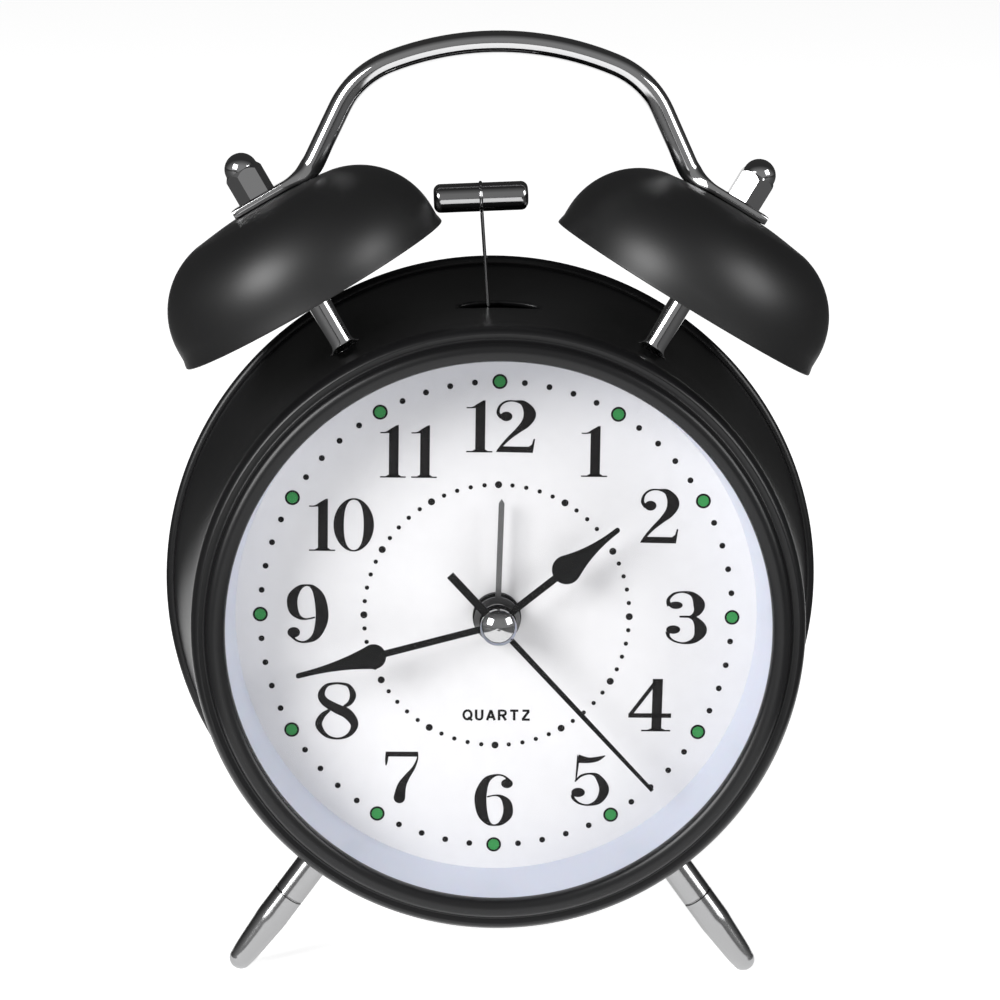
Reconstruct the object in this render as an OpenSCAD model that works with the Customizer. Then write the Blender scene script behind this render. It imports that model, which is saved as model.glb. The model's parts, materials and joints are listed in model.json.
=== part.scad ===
/* [Stance] */
// How far the clock leans back from upright, in degrees
lean = 4.6; // [0:0.1:8]

/* [Case] */
// Radius of the glass opening in the bezel
opening_r = 45.2; // [44.8:0.1:45.6]
// Outer radius of the bezel
bezel_r = 51.1; // [50.9:0.1:51.6]
// Outer radius of the case just behind the bezel
neck_r = 50.3; // [50.2:0.1:50.5]
// Outer radius of the case where the rear flare ends
flare_r = 56.6; // [56.2:0.1:57.0]
// Depth of the case from the neck to the end of the flare
flare_depth = 41; // [40.8:0.1:41.4]
// Thickness of the pressed steel case
sheet = 0.7; // [0.6:0.1:0.8]
// Radius of the rolled bead round the rear edge
bead_r = 1.1; // [0.9:0.1:1.2]

/* [Bells] */
// Angle of each bell from upright, seen from the front
bell_angle = 30.5; // [29:0.1:32]
// Distance from the clock's centre line to the bell's mouth
bell_mouth = 61.8; // [61.5:0.1:63]
// Radius of the bell's lip
bell_lip_r = 25; // [23:0.1:25.4]
// Height of a bell
bell_h = 17.6; // [16.5:0.1:19]
// Thickness of the bell's steel
bell_t = 0.9; // [0.7:0.1:1.2]
// Depth of the bells, posts and hammer behind the dial
bell_y = 10; // [9.5:0.1:10.5]

/* [Handle] */
// Diameter of the handle's rod
rod_d = 3.8; // [3:0.1:4.2]
// Height of the rod's centre above the clock's centre, at the top
handle_top = 96.1; // [94:0.1:98]
// Radius of the handle's top arc
top_arc_r = 51.4; // [48:0.1:58]
// Half the angle that the top arc spans
top_arc_a = 21.7; // [19:0.1:24]
// Radius of the handle's shoulders
shoulder_r = 15.5; // [14:0.1:17]
// Splay of the straight legs from upright
leg_a = 25.2; // [23:0.1:27]

/* [Feet] */
// Angle of each foot from straight down, seen from the front
foot_angle = 36; // [34:0.5:38]
// Distance from the clock's centre line to the middle of the foot's rounded end
foot_reach = 73.3; // [73:0.1:73.8]
// Diameter of the foot
foot_d = 5.4; // [5:0.1:5.6]

/* [Hammer] */
// Length of the hammer head
head_l = 16; // [14:0.1:16.2]
// Diameter of the hammer head
head_d = 4.9; // [4:0.1:5]
// Height of the hammer's pivot above the clock's centre
pivot_z = 28; // [27.5:0.5:28.5]
// Height of the hammer head above the clock's centre
head_z = 70.1; // [69.5:0.1:70.5]
// Lean of the hammer from upright at rest, towards the left bell
swing = 4.5; // [4.3:0.1:4.6]

/* [Time shown] */
// Hour hand, degrees clockwise from twelve
hour_a = 51.2; // [0:0.1:360]
// Minute hand, degrees clockwise from twelve
minute_a = 255; // [0:0.1:360]
// Second hand, degrees clockwise from twelve
second_a = 136.8; // [0:0.1:360]
// Alarm hand, degrees clockwise from twelve
alarm_a = 1.3; // [0:0.1:360]

/* [Hidden] */

$fn = 96;
fine = 180;
eps = 0.01;
run_fit = 0.05;

// Depths behind the dial's face, negative towards the front
neck_y = -10;
flare_y = neck_y + flare_depth;
bezel_front_y = -16.4;
lens_front_y = -14.4;
lens_t = 1.4;
lens_back_y = lens_front_y + lens_t;
dial_t = 0.8;
frame_t = 2;
movement_y = [dial_t, 16.6];
movement_split_y = 9;
movement_wall = 1.2;
cover_y = [31.2, 33.2];
bead_y = flare_y + 2.2;
bead_c = flare_r + 0.5;
door_t = 1.2;

// The flare is one arc, tangent to the neck
flare_rise = flare_r - neck_r;
flare_arc = (flare_depth * flare_depth + flare_rise * flare_rise) / (2 * flare_rise);
function case_r(y) = neck_r + flare_arc - sqrt(flare_arc * flare_arc - pow(y - neck_y, 2));
flare_steps = 20;
flare_pts = [for (i = [0:flare_steps]) let (y = neck_y + flare_depth * i / flare_steps) [case_r(y), y]];

dial_r = 46.4;
stand_z = bead_c * cos(lean) + bead_y * sin(lean) + bead_r;
knob_back_y = 40.4;
bezel_crest_r = opening_r + 1.9;

// Screw columns of the dial frame, as angles from the right-hand side
column_angles = [40, 140, 200, 340];
column_at = 46.2;
column_d = 5.2;

// Battery bay, batteries and door
cell_d = 14.2;
cell_l = 50;
cell_z = [-18, -32.6];
cell_y = 25.9;
bay_x = 28.4;
bay_z = [-40.4, -10.2];
bay_y = 18.6;
bay_wall = 1;
door_z = [-41.2, -9.4];
door_x = 29.6;
hinge_y = 35.2;
hinge_z = -42.6;
hinge_r = 1.3;
pin_r = 0.6;
hinge_l = 20;
lug_l = 3;

// Wheel train: tooth module, teeth and depth of each wheel
rotor_m = 0.2;
mid_m = 0.3;
third_m = 0.24;
centre_m = third_m * (8 + 64) / (8 + 60);
motion_m = 0.5;
alarm_m = 0.35;
rotor_teeth = [8, 60];
mid_teeth = [10, 40];
third_teeth = [8, 64];
centre_teeth = [8, 60];
cannon_teeth = [10, 30];
hour_teeth = [8, 32];
alarm_teeth = [12, 60];
function apart(m, teeth) = m * (teeth[0] + teeth[1]) / 2;
function at(r, a) = [r * cos(a), r * sin(a)];

minute_dir = 160;
alarm_dir = 26;
third_dir = 250;
mid_dir = 300;
rotor_dir = 330;
minute_xz = at(apart(motion_m, cannon_teeth), minute_dir);
alarm_xz = at(apart(alarm_m, alarm_teeth), alarm_dir);
third_xz = at(apart(third_m, third_teeth), third_dir);
mid_xz = at(apart(mid_m, mid_teeth), mid_dir);
rotor_xz = mid_xz + at(apart(rotor_m, rotor_teeth), rotor_dir);

alarm_wheel_y = 2.8;
hour_wheel_y = 4.2;
minute_wheel_y = 6;
centre_wheel_y = 8;
third_wheel_y = 9.8;
second_wheel_y = 11.8;
mid_wheel_y = 13.4;
wheel_t = 0.8;

// Concentric tubes on the centre line: outer radii, each running in the next
arbor_r = 0.5;
minute_tube_r = 1.1;
hour_tube_r = 1.75;
alarm_tube_r = 2.75;
bush_r = 3.4;
alarm_hand_y = -3.6;
hour_hand_y = -6.2;
minute_hand_y = -7.9;
second_hand_y = -9.4;
hand_t = 0.4;

knob_r = 5.5;
// Leaning back, the bezel's lower crest is furthest forward and the alarm knob's top is furthest back
row_front = bezel_front_y * cos(lean) - bezel_crest_r * sin(lean);
row_back = knob_back_y * cos(lean) + (alarm_xz[1] + knob_r) * sin(lean);
stand_y = -(row_front + row_back) / 2;
knob_h = 5.4;
knob_shaft_r = 1.4;

switch_xz = [-17, 22];
button_xz = [17, 22];
button_size = [9, 5.4];
switch_size = [4.4, 3];
switch_travel = 3.2;

cam_z = 20;
cam_r = 1.6;
cam_offset = 0.5;
motor_r = 5;
lever_y = [bell_y - 0.75, bell_y + 0.75];
wire_r = 0.3;
head_tilt = 2.9;
slot_size = [14, 4.6];
slot_y = bell_y + 0.6;

post_r = 2;
stud_r = 1.5;
collar_r = 3.15;
post_foot = 51.2;
bell_top = bell_mouth + bell_h;
tab_t = 1.7;
tab_w = 7;
tab_end = 4.8;
nut_h = 7.9;
nut_r = 3.36;
hex_r = 3.18;
hex_t = 2.4;
foot_y = -3;
foot_joint = 59.3;
foot_tip_d = 4;

// ---- placing helpers ----
// Puts the upright clock on its feet, leaning back
module stand() {
    translate([0, stand_y, stand_z]) rotate([-lean, 0, 0]) children();
}
// Outline drawn as seen from the front, filling depths y0 to y1
module slab(y0, y1) {
    translate([0, y1, 0]) rotate([90, 0, 0]) linear_extrude(y1 - y0) children();
}
// Cylinder along the clock's depth, from y0 to y1
module rod_y(r, y0, y1, sides = 48) {
    translate([0, y0, 0]) rotate([-90, 0, 0]) cylinder(r = r, h = y1 - y0, $fn = sides);
}
// Outline of radius and depth, turned round the clock's centre line
module turned() {
    rotate([-90, 0, 0]) rotate_extrude($fn = fine) children();
}
// Moves to a place given as seen from the front
module to(xz) {
    translate([xz[0], 0, xz[1]]) children();
}
// Local +Z along a bell's axis; side is -1 for the left one and 1 for the right
module bell_axis(side) {
    translate([0, bell_y, 0]) rotate([0, side * bell_angle, 0]) children();
}
// Local +Z along a foot's axis
module foot_axis(side) {
    translate([0, foot_y, 0]) rotate([0, side * (180 - foot_angle), 0]) children();
}
// Turns about the centre line, clockwise as seen from the front
module clockwise(a) {
    rotate([0, a, 0]) children();
}
module case_solid() {
    turned() polygon(concat([[0, neck_y]], flare_pts, [[0, flare_y]]));
}

// ---- teeth ----
tip_out = 0.9;
root_in = 1.15;
tip_half = 0.11;
root_half = 0.24;
function tooth(r, a) = [r * cos(a), r * sin(a)];
function gear_pts(m, z) = [for (i = [0:z - 1]) for (q = [[-root_half, -root_in], [-tip_half, tip_out],
    [tip_half, tip_out], [root_half, -root_in]]) tooth(m * (z / 2 + q[1]), (i + q[0]) * 360 / z)];
module gear(m, z, y0, t, turn) {
    slab(y0, y0 + t) rotate(turn) polygon(gear_pts(m, z));
}
// Driving wheel with a tooth at direction dir, and the driven one with a gap facing it
function gap_turn(dir, z) = dir + 180 + 180 / z;

// ---- case ----
module case_shell() {
    color([0.05, 0.05, 0.055]) difference() {
        turned() union() {
            polygon(concat(flare_pts, [for (i = [flare_steps:-1:0]) flare_pts[i] - [sheet, 0]]));
            difference() {
                translate([bead_c, bead_y]) circle(bead_r, $fn = 48);
                translate([bead_c, bead_y]) circle(bead_r - sheet / 2, $fn = 48);
            }
            polygon([[flare_r - sheet, flare_y - 0.2], [flare_r, flare_y - 0.2], [bead_c - 0.4, bead_y - 1],
                [bead_c - 0.8, bead_y - 0.6]]);
        }
        for (side = [-1, 1]) {
            bell_axis(side) cylinder(r = stud_r, h = 60, $fn = 48);
            foot_axis(side) cylinder(r = stud_r, h = 60, $fn = 48);
        }
        translate([-slot_size[0] / 2, slot_y - slot_size[1] / 2, 40]) cube([slot_size[0], slot_size[1], 20]);
    }
}
module bezel() {
    color([0.05, 0.05, 0.055]) turned() polygon([
        [opening_r, lens_front_y], [opening_r, -15.2], [opening_r + 0.3, -15.9], [opening_r + 1, -16.3],
        [bezel_crest_r, bezel_front_y], [opening_r + 2.6, -16.2], [opening_r + 3.05, -15.7],
        [opening_r + 3.2, -15.1], [opening_r + 3.4, -14.7], [opening_r + 3.8, -14.55],
        [bezel_r - 1.3, -14.7], [bezel_r - 0.75, -14.3], [bezel_r - 0.3, -13.4], [bezel_r, -11.9],
        [bezel_r, -11.2], [bezel_r - 0.3, -10.5], [bezel_r - 1, neck_y],
        [49.4, neck_y], [49.4, -7], [48.5, -7], [48.5, lens_back_y], [46.6, lens_back_y], [46.6, lens_front_y]]);
}
module lens() {
    color([0.85, 0.92, 0.95, 0.35]) rod_y(46.5, lens_front_y, lens_back_y, fine);
}
// Translucent ring between the glass and the dial
module dial_ring() {
    color([0.8, 0.83, 0.92]) turned() polygon([[45.6, lens_back_y], [48.3, lens_back_y], [48.3, -11.8],
        [46.5, -11.4], [46, 0], [44.2, 0], [44.3, -1]]);
}
module dial_plate() {
    color("white") difference() {
        rod_y(dial_r, 0, dial_t, fine);
        rod_y(bush_r, -1, 2);
    }
}
module dial_frame() {
    color([0.85, 0.85, 0.83]) difference() {
        union() {
            difference() {
                rod_y(dial_r, dial_t, dial_t + frame_t, fine);
                rod_y(38, 0, 4, fine);
            }
            for (a = column_angles) to(at(column_at, a)) rod_y(column_d / 2, dial_t + frame_t, cover_y[0]);
        }
        for (a = column_angles) to(at(column_at, a)) rod_y(1, 22, cover_y[0] + 1);
    }
}

// ---- back ----
module back_cover() {
    color([0.07, 0.07, 0.075]) difference() {
        union() {
            rod_y(55.6, cover_y[0], cover_y[1], fine);
            translate([-bay_x - bay_wall, bay_y - bay_wall, bay_z[0] - bay_wall])
                cube([2 * (bay_x + bay_wall), cover_y[0] - bay_y + bay_wall + eps, bay_z[1] - bay_z[0] + 2 * bay_wall]);
            for (s = [-1, 1]) translate([s * (hinge_l / 2 + lug_l / 2 + 0.3) - lug_l / 2, 0, hinge_z]) hinge_lug();
        }
        translate([-bay_x, bay_y, bay_z[0]]) cube([2 * bay_x, 20, bay_z[1] - bay_z[0]]);
        for (s = [-1, 1]) translate([s * (hinge_l / 2 + lug_l / 2 + 0.3) - lug_l / 2 - 1, hinge_y, hinge_z])
            rotate([0, 90, 0]) cylinder(r = pin_r, h = lug_l + 2, $fn = 32);
        for (a = column_angles) to(at(column_at, a)) rod_y(1.5, 30, 34);
        to(minute_xz) rod_y(knob_shaft_r + 0.3, 30, 34);
        to(alarm_xz) rod_y(knob_shaft_r + 0.3, 30, 34);
        to(switch_xz) cube([switch_size[0] + switch_travel + 0.6, 10, switch_size[1] + 0.4], center = true);
        to(switch_xz) translate([0, 32.2, 0])
            cube([switch_size[0] + switch_travel + 0.6, 10, switch_size[1] + 0.4], center = true);
        to(button_xz) translate([0, 32.2, 0]) cube([button_size[0] + 0.4, 10, button_size[1] + 0.4], center = true);
    }
}
module hinge_lug() {
    rotate([90, 0, 90]) linear_extrude(lug_l) union() {
        translate([hinge_y, 0]) circle(hinge_r, $fn = 48);
        translate([cover_y[1] - 0.5, -hinge_r]) square([hinge_y - cover_y[1] + 0.5, 2 * hinge_r]);
    }
}
module battery_door() {
    door_y = cover_y[1] + 0.05;
    color([0.07, 0.07, 0.075]) difference() {
        union() {
            translate([-door_x, door_y, door_z[0]]) cube([2 * door_x, door_t, door_z[1] - door_z[0]]);
            translate([-hinge_l / 2, 0, 0]) rotate([90, 0, 90]) linear_extrude(hinge_l) union() {
                translate([hinge_y, hinge_z]) circle(hinge_r, $fn = 48);
                translate([hinge_y - 0.9, hinge_z]) square([0.9 + 0.5, door_z[0] - hinge_z + 1]);
            }
            translate([-5, door_y + door_t - eps, door_z[1] - 3]) cube([10, 0.8, 1.6]);
        }
        translate([-hinge_l, hinge_y, hinge_z]) rotate([0, 90, 0])
            cylinder(r = pin_r + run_fit, h = 2 * hinge_l, $fn = 32);
    }
}
module door_pin() {
    pin_l = hinge_l + 2 * (lug_l + 0.3);
    color([0.7, 0.7, 0.72]) translate([-pin_l / 2, hinge_y, hinge_z]) rotate([0, 90, 0])
        cylinder(r = pin_r, h = pin_l, $fn = 32);
}
module screw(head_r, head_h, r, l) {
    difference() {
        union() {
            rod_y(head_r, 0, head_h);
            rod_y(r, -l, 0);
        }
        for (a = [0, 90]) rotate([0, a, 0]) translate([-head_r * 0.6, head_h * 0.5, -0.25])
            cube([head_r * 1.2, head_h, 0.5]);
    }
}
module cover_screws() {
    color([0.75, 0.75, 0.77]) for (a = column_angles)
        to(at(column_at, a)) translate([0, cover_y[1], 0]) screw(2.2, 1.2, 1, 10);
}

// ---- bells and handle ----
bell_wall_r = bell_lip_r - 0.25;
bell_arc_v = 3;
bell_arc_r = 13.95;
bell_arc_c = bell_wall_r - bell_arc_r;
bell_cap_a = 12;
function bell_arc(a, r) = [bell_arc_c + r * sin(a), bell_arc_v + r * cos(a)];
bell_cap = bell_arc(bell_cap_a, bell_arc_r);
function bell_outline(inset) = concat([[bell_lip_r - inset, 0], [bell_wall_r - inset, 1.3]],
    [for (a = [90:-6:bell_cap_a]) bell_arc(a, bell_arc_r - inset)],
    [[8, bell_h - 0.25 - inset], [4.5, bell_h - inset], [0, bell_h - inset]]);
module bell(side) {
    outer = bell_outline(0);
    inner = bell_outline(bell_t);
    count = len(inner);
    color([0.07, 0.07, 0.07]) bell_axis(side) translate([0, 0, bell_mouth]) difference() {
        rotate_extrude($fn = 128) polygon(concat(outer, [for (i = [count - 1:-1:0]) inner[i]]));
        cylinder(r = stud_r, h = 60, $fn = 48);
    }
}
module bell_posts() {
    color([0.75, 0.75, 0.77]) difference() {
        for (side = [-1, 1]) bell_axis(side) {
            translate([0, 0, post_foot - 0.4]) cylinder(r = collar_r, h = 1.1, $fn = 48);
            translate([0, 0, post_foot]) cylinder(r = post_r, h = bell_top - bell_t - post_foot, $fn = 48);
            translate([0, 0, bell_top - bell_t - eps]) cylinder(r = stud_r, h = 8, $fn = 48);
        }
        case_solid();
    }
    color([0.75, 0.75, 0.77]) for (side = [-1, 1]) bell_axis(side)
        translate([0, 0, 46.4]) cylinder(r = stud_r, h = post_foot - 46.4 + 0.6, $fn = 48);
}
module inner_nuts() {
    color([0.78, 0.72, 0.5]) for (side = [-1, 1]) {
        bell_axis(side) translate([0, 0, 50.1 - hex_t]) hex_nut();
        foot_axis(side) translate([0, 0, 49 - hex_t]) hex_nut();
    }
}
module hex_nut() {
    difference() {
        cylinder(r = hex_r, h = hex_t, $fn = 6);
        translate([0, 0, -1]) cylinder(r = stud_r, h = hex_t + 2, $fn = 48);
    }
}
module dome_nuts() {
    dome_r = 2.85;
    shaft_h = nut_h - dome_r;
    color([0.75, 0.75, 0.77]) for (side = [-1, 1]) bell_axis(side) translate([0, 0, bell_top + tab_t]) difference() {
        intersection() {
            rotate(side < 0 ? 13 : 30) cylinder(r = nut_r, h = nut_h, $fn = 6);
            union() {
                cylinder(r = nut_r + 0.1, h = shaft_h - 0.9, $fn = 48);
                translate([0, 0, shaft_h - 0.9 - eps]) cylinder(r1 = nut_r + 0.1, r2 = dome_r, h = 0.9 + 2 * eps, $fn = 48);
                translate([0, 0, shaft_h]) sphere(dome_r, $fn = 48);
            }
        }
        translate([0, 0, -1]) cylinder(r = stud_r, h = 7, $fn = 48);
    }
}
// Points of the handle's centre line on the right-hand side, as seen from the front
rod_r = rod_d / 2;
top_centre = [0, handle_top - top_arc_r];
arc_end = top_centre + top_arc_r * [sin(top_arc_a), cos(top_arc_a)];
shoulder_c = arc_end - shoulder_r * [sin(top_arc_a), cos(top_arc_a)];
leg_from = shoulder_c + shoulder_r * [cos(leg_a), sin(leg_a)];
tab_mid = (bell_top + tab_t / 2) * [sin(bell_angle), cos(bell_angle)];
leg_dir = [sin(leg_a), -cos(leg_a)];
tab_dir = [cos(bell_angle), -sin(bell_angle)];
function cross2(a, b) = a[0] * b[1] - a[1] * b[0];
leg_l = cross2(tab_mid - leg_from, tab_dir) / cross2(leg_dir, tab_dir);
leg_to = leg_from + leg_l * leg_dir;
tab_in = norm(tab_mid - leg_to);
// Each stretch of rod is a hair thinner than the one it enters, so their surfaces never coincide
step_in = 0.01;
module arc_rod(centre, r, from, to_a, thin) {
    translate([centre[0], bell_y, centre[1]]) rotate([90, 0, 0]) rotate([0, 0, from])
        rotate_extrude(angle = to_a - from, $fn = 160) translate([r, 0]) circle(rod_r - thin, $fn = 48);
}
module handle() {
    color([0.75, 0.75, 0.77]) difference() {
        union() {
            arc_rod(top_centre, top_arc_r, 90 - top_arc_a, 90 + top_arc_a, 0);
            for (side = [0, 1]) mirror([side, 0, 0]) {
                arc_rod(shoulder_c, shoulder_r, leg_a, 90.8 - top_arc_a, step_in);
                difference() {
                    translate([leg_from[0], bell_y, leg_from[1]]) rotate([0, 180 - leg_a, 0])
                        translate([0, 0, -0.2]) cylinder(r = rod_r - 2 * step_in, h = leg_l + 1, $fn = 48);
                    bell_axis(1) translate([-20, -10, bell_top - 5 + eps]) cube([40, 20, 5]);
                }
                bell_axis(1) translate([-tab_in - 0.6, -tab_w / 2, bell_top])
                    cube([tab_in + tab_end + 0.6, tab_w, tab_t]);
            }
        }
        for (side = [-1, 1]) bell_axis(side) translate([0, 0, bell_top - 5]) cylinder(r = stud_r, h = 12, $fn = 48);
    }
}

// ---- feet ----
module foot(side) {
    color([0.75, 0.75, 0.77]) {
        difference() {
            foot_axis(side) translate([0, 0, 49]) cylinder(d = foot_d, h = foot_joint - 49, $fn = 48);
            case_solid();
        }
        foot_axis(side) translate([0, 0, 46.3]) cylinder(r = stud_r, h = 6, $fn = 48);
    }
}
module foot_tip(side) {
    taper = 5.4;
    neck_h = 0.35;
    straight = foot_reach - foot_joint - neck_h - taper - 1.6;
    color([0.75, 0.75, 0.77]) foot_axis(side) translate([0, 0, foot_joint])
        rotate_extrude($fn = 48) union() {
            square([foot_d / 2 - 0.25, neck_h + eps]);
            translate([0, neck_h]) square([foot_d / 2, straight]);
            polygon([[0, neck_h + straight - eps], [foot_d / 2, neck_h + straight - eps],
                [foot_d / 2 - 0.12, neck_h + straight + 1.5], [foot_tip_d / 2, foot_reach - foot_joint], [0, foot_reach - foot_joint]]);
            intersection() {
                translate([0, foot_reach - foot_joint]) circle(foot_tip_d / 2, $fn = 48);
                translate([0, 2]) square([3, 20]);
            }
        }
}
// Foot tips end in a small flat where they meet the table
module on_table() {
    difference() {
        stand() children();
        translate([-100, -100, -20]) cube([200, 200, 20]);
    }
}

// ---- hammer and striker ----
// The hammer's pieces are drawn upright over the pivot, then leaned to the left bell
module hammer_frame() {
    translate([0, 0, pivot_z]) rotate([0, -swing, 0]) children();
}
arm_l = (head_z - pivot_z) / cos(swing);
lever_l = 15;
module hammer_head() {
    round_r = 1.2;
    flat_l = head_l / 2 - round_r;
    color([0.75, 0.75, 0.77]) hammer_frame() translate([0, bell_y, arm_l]) rotate([0, 90 + swing - head_tilt, 0])
        difference() {
            rotate_extrude($fn = 64) union() {
                translate([0, -flat_l]) square([head_d / 2, 2 * flat_l]);
                translate([0, -head_l / 2]) square([head_d / 2 - round_r, head_l]);
                for (s = [-1, 1]) translate([head_d / 2 - round_r, s * flat_l]) circle(round_r, $fn = 32);
            }
            rotate_extrude($fn = 64) translate([head_d / 2, 0]) circle(wire_r, $fn = 24);
        }
}
module hammer_wire() {
    color([0.7, 0.7, 0.72]) hammer_frame() translate([0, bell_y, 0]) {
        translate([0, 0, lever_l - 3]) cylinder(r = wire_r, h = arm_l - head_d / 2 - lever_l + 3, $fn = 24);
        translate([0, 0, arm_l]) rotate([0, 90 + swing - head_tilt, 0])
            rotate_extrude($fn = 64) translate([head_d / 2, 0]) circle(wire_r, $fn = 24);
    }
}
module hammer_lever() {
    cam_rel = cam_z - pivot_z;
    window = cam_r + cam_offset + abs(cam_rel) * sin(swing) + 0.35;
    color([0.8, 0.78, 0.72]) hammer_frame() difference() {
        slab(lever_y[0], lever_y[1]) difference() {
            union() {
                circle(2.8, $fn = 48);
                translate([0, cam_rel]) circle(window + 1.5, $fn = 48);
                translate([-2, cam_rel + window]) square([4, lever_l - cam_rel - window]);
            }
            translate([0, cam_rel]) circle(window, $fn = 48);
        }
        rod_y(1 + run_fit, 0, 20);
        translate([0, bell_y, lever_l - 3]) cylinder(r = wire_r, h = 10, $fn = 24);
    }
}
module hammer_pin() {
    color([0.75, 0.75, 0.77]) to([0, pivot_z]) union() {
        rod_y(1, 8.6, 12.6, 32);
        rod_y(1.7, 8, 8.6, 32);
    }
}
module striker_bracket() {
    color([0.7, 0.7, 0.68]) difference() {
        union() {
            slab(11.6, 12.6) polygon([[-9, 14], [9, 14], [9, 34], [-9, 34]]);
            translate([-9, 11.6, 14]) cube([18, 5, 1]);
        }
        to([0, pivot_z]) rod_y(1, 10, 14, 32);
        to([0, cam_z]) rod_y(1.2, 10, 14, 32);
        for (s = [-1, 1]) translate([s * 6.8, 14.4, 10]) cylinder(r = 1, h = 10, $fn = 32);
    }
}
module striker_motor() {
    color([0.75, 0.75, 0.77]) to([0, cam_z]) {
        difference() {
            union() {
                rod_y(motor_r, 12.6, 26);
                rod_y(1.8, 26, 26.8);
            }
            rod_y(0.75 + run_fit, 12, 25);
        }
    }
}
module striker_cam() {
    color([0.9, 0.9, 0.85]) to([0, cam_z]) {
        rod_y(0.75, lever_y[1], 24.9, 32);
        translate([cam_offset, 0, 0]) rod_y(cam_r, lever_y[0] - 0.2, lever_y[1] + 0.2, 32);
    }
}

// ---- hands, drawn pointing to twelve ----
module hand(a, y, hole_r) {
    clockwise(a) slab(y, y + hand_t) difference() {
        children();
        circle(hole_r, $fn = 48);
    }
}
// Spade hand: stem, round spade drawn out to a slim rounded point
module spade(tip, spade_at, spade_r, stem_w, hub_r) {
    circle(hub_r, $fn = 48);
    translate([-stem_w / 2, 0]) square([stem_w, spade_at]);
    translate([0, spade_at]) circle(spade_r, $fn = 48);
    sides = 14;
    reach = tip - spade_at - 0.4;
    end_w = 0.42;
    flare = [for (i = [0:sides]) let (t = i / sides)
        [end_w + (spade_r * 0.93 - end_w) * pow(1 - t, 2.2), spade_at + 0.36 * spade_r + (reach - 0.36 * spade_r) * t]];
    polygon(concat(flare, [for (i = [sides:-1:0]) [-flare[i][0], flare[i][1]]]));
    translate([0, tip - end_w]) circle(end_w, $fn = 24);
}
module alarm_hand() {
    color([0.72, 0.72, 0.74]) hand(alarm_a, alarm_hand_y, alarm_tube_r) union() {
        circle(3.9, $fn = 64);
        polygon([[-0.48, 3], [0.48, 3], [0.48, 19.9], [0, 20.6], [-0.48, 19.9]]);
    }
}
module hour_hand() {
    color("black") hand(hour_a, hour_hand_y, hour_tube_r) spade(25.8, 14.6, 2.45, 1.2, 3.1);
}
module minute_hand() {
    color("black") hand(minute_a, minute_hand_y, minute_tube_r) spade(34.9, 21.5, 2.1, 1.1, 2.6);
}
module second_hand() {
    color("black") hand(second_a, second_hand_y, arbor_r) union() {
        circle(2.2, $fn = 48);
        polygon([[-0.5, 0], [0.5, 0], [0.3, 38.4], [-0.3, 38.4]]);
        translate([-0.68, -11.9]) square([1.36, 11.9]);
    }
}
module centre_cap() {
    cap_r = 3.05;
    rim_y = second_hand_y - 0.9;
    dome_drop = 2.6;
    dome_r = sqrt(cap_r * cap_r + dome_drop * dome_drop);
    color([0.8, 0.8, 0.82]) difference() {
        turned() union() {
            translate([0, rim_y - eps]) square([cap_r, 0.9 + eps]);
            intersection() {
                translate([0, rim_y + dome_drop]) circle(dome_r, $fn = 96);
                translate([0, rim_y - 4]) square([cap_r - 0.02, 4]);
            }
        }
        rod_y(arbor_r, second_hand_y - 0.4, second_hand_y + 1, 32);
    }
}

// ---- movement ----
movement_x = 26;
movement_z = [-24, 14];
pivot_xz = [[0, 0], third_xz, mid_xz, rotor_xz];
module housing_outline(inset) {
    translate([-movement_x + inset, movement_z[0] + inset])
        square([2 * (movement_x - inset), movement_z[1] - movement_z[0] - 2 * inset]);
}
module movement_front() {
    color([0.88, 0.88, 0.85]) difference() {
        union() {
            difference() {
                slab(movement_y[0], movement_split_y) housing_outline(0);
                slab(movement_y[0] + movement_wall, movement_split_y + 1) housing_outline(movement_wall);
            }
            rod_y(bush_r, -2.6, movement_y[0] + eps);
            for (x = [-1, 1]) for (z = movement_z) translate([x * (movement_x - 2.4), 0, z - sign(z) * 2.4])
                rod_y(1.6, movement_y[0] + movement_wall - eps, movement_split_y);
        }
        rod_y(alarm_tube_r + run_fit, -5, 10);
        for (x = [-1, 1]) for (z = movement_z) translate([x * (movement_x - 2.4), 0, z - sign(z) * 2.4])
            rod_y(0.8, 4, movement_split_y + 1, 32);
    }
}
module movement_rear() {
    back = movement_y[1];
    color([0.88, 0.88, 0.85]) difference() {
        union() {
            difference() {
                slab(movement_split_y, back) housing_outline(0);
                slab(movement_split_y - 1, back - movement_wall) housing_outline(movement_wall);
            }
            for (p = pivot_xz) to(p) rod_y(1.3, back - movement_wall - 1, back - movement_wall + eps, 32);
            for (x = [-1, 1]) for (z = movement_z) translate([x * (movement_x - 2.4), 0, z - sign(z) * 2.4])
                rod_y(1.6, movement_split_y, back - movement_wall + eps);
        }
        for (p = pivot_xz) to(p) rod_y(arbor_r + run_fit, back - movement_wall - 2, back - 0.5, 32);
        to(minute_xz) rod_y(knob_shaft_r + run_fit, 10, 20);
        to(alarm_xz) rod_y(knob_shaft_r + run_fit, 10, 20);
        for (x = [-1, 1]) for (z = movement_z) translate([x * (movement_x - 2.4), 0, z - sign(z) * 2.4])
            rod_y(0.8, movement_split_y - 1, 20, 32);
    }
}
module bush_nut() {
    color("black") difference() {
        rod_y(4.1, -1.4, 0);
        rod_y(bush_r, -2, 1);
    }
}
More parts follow.
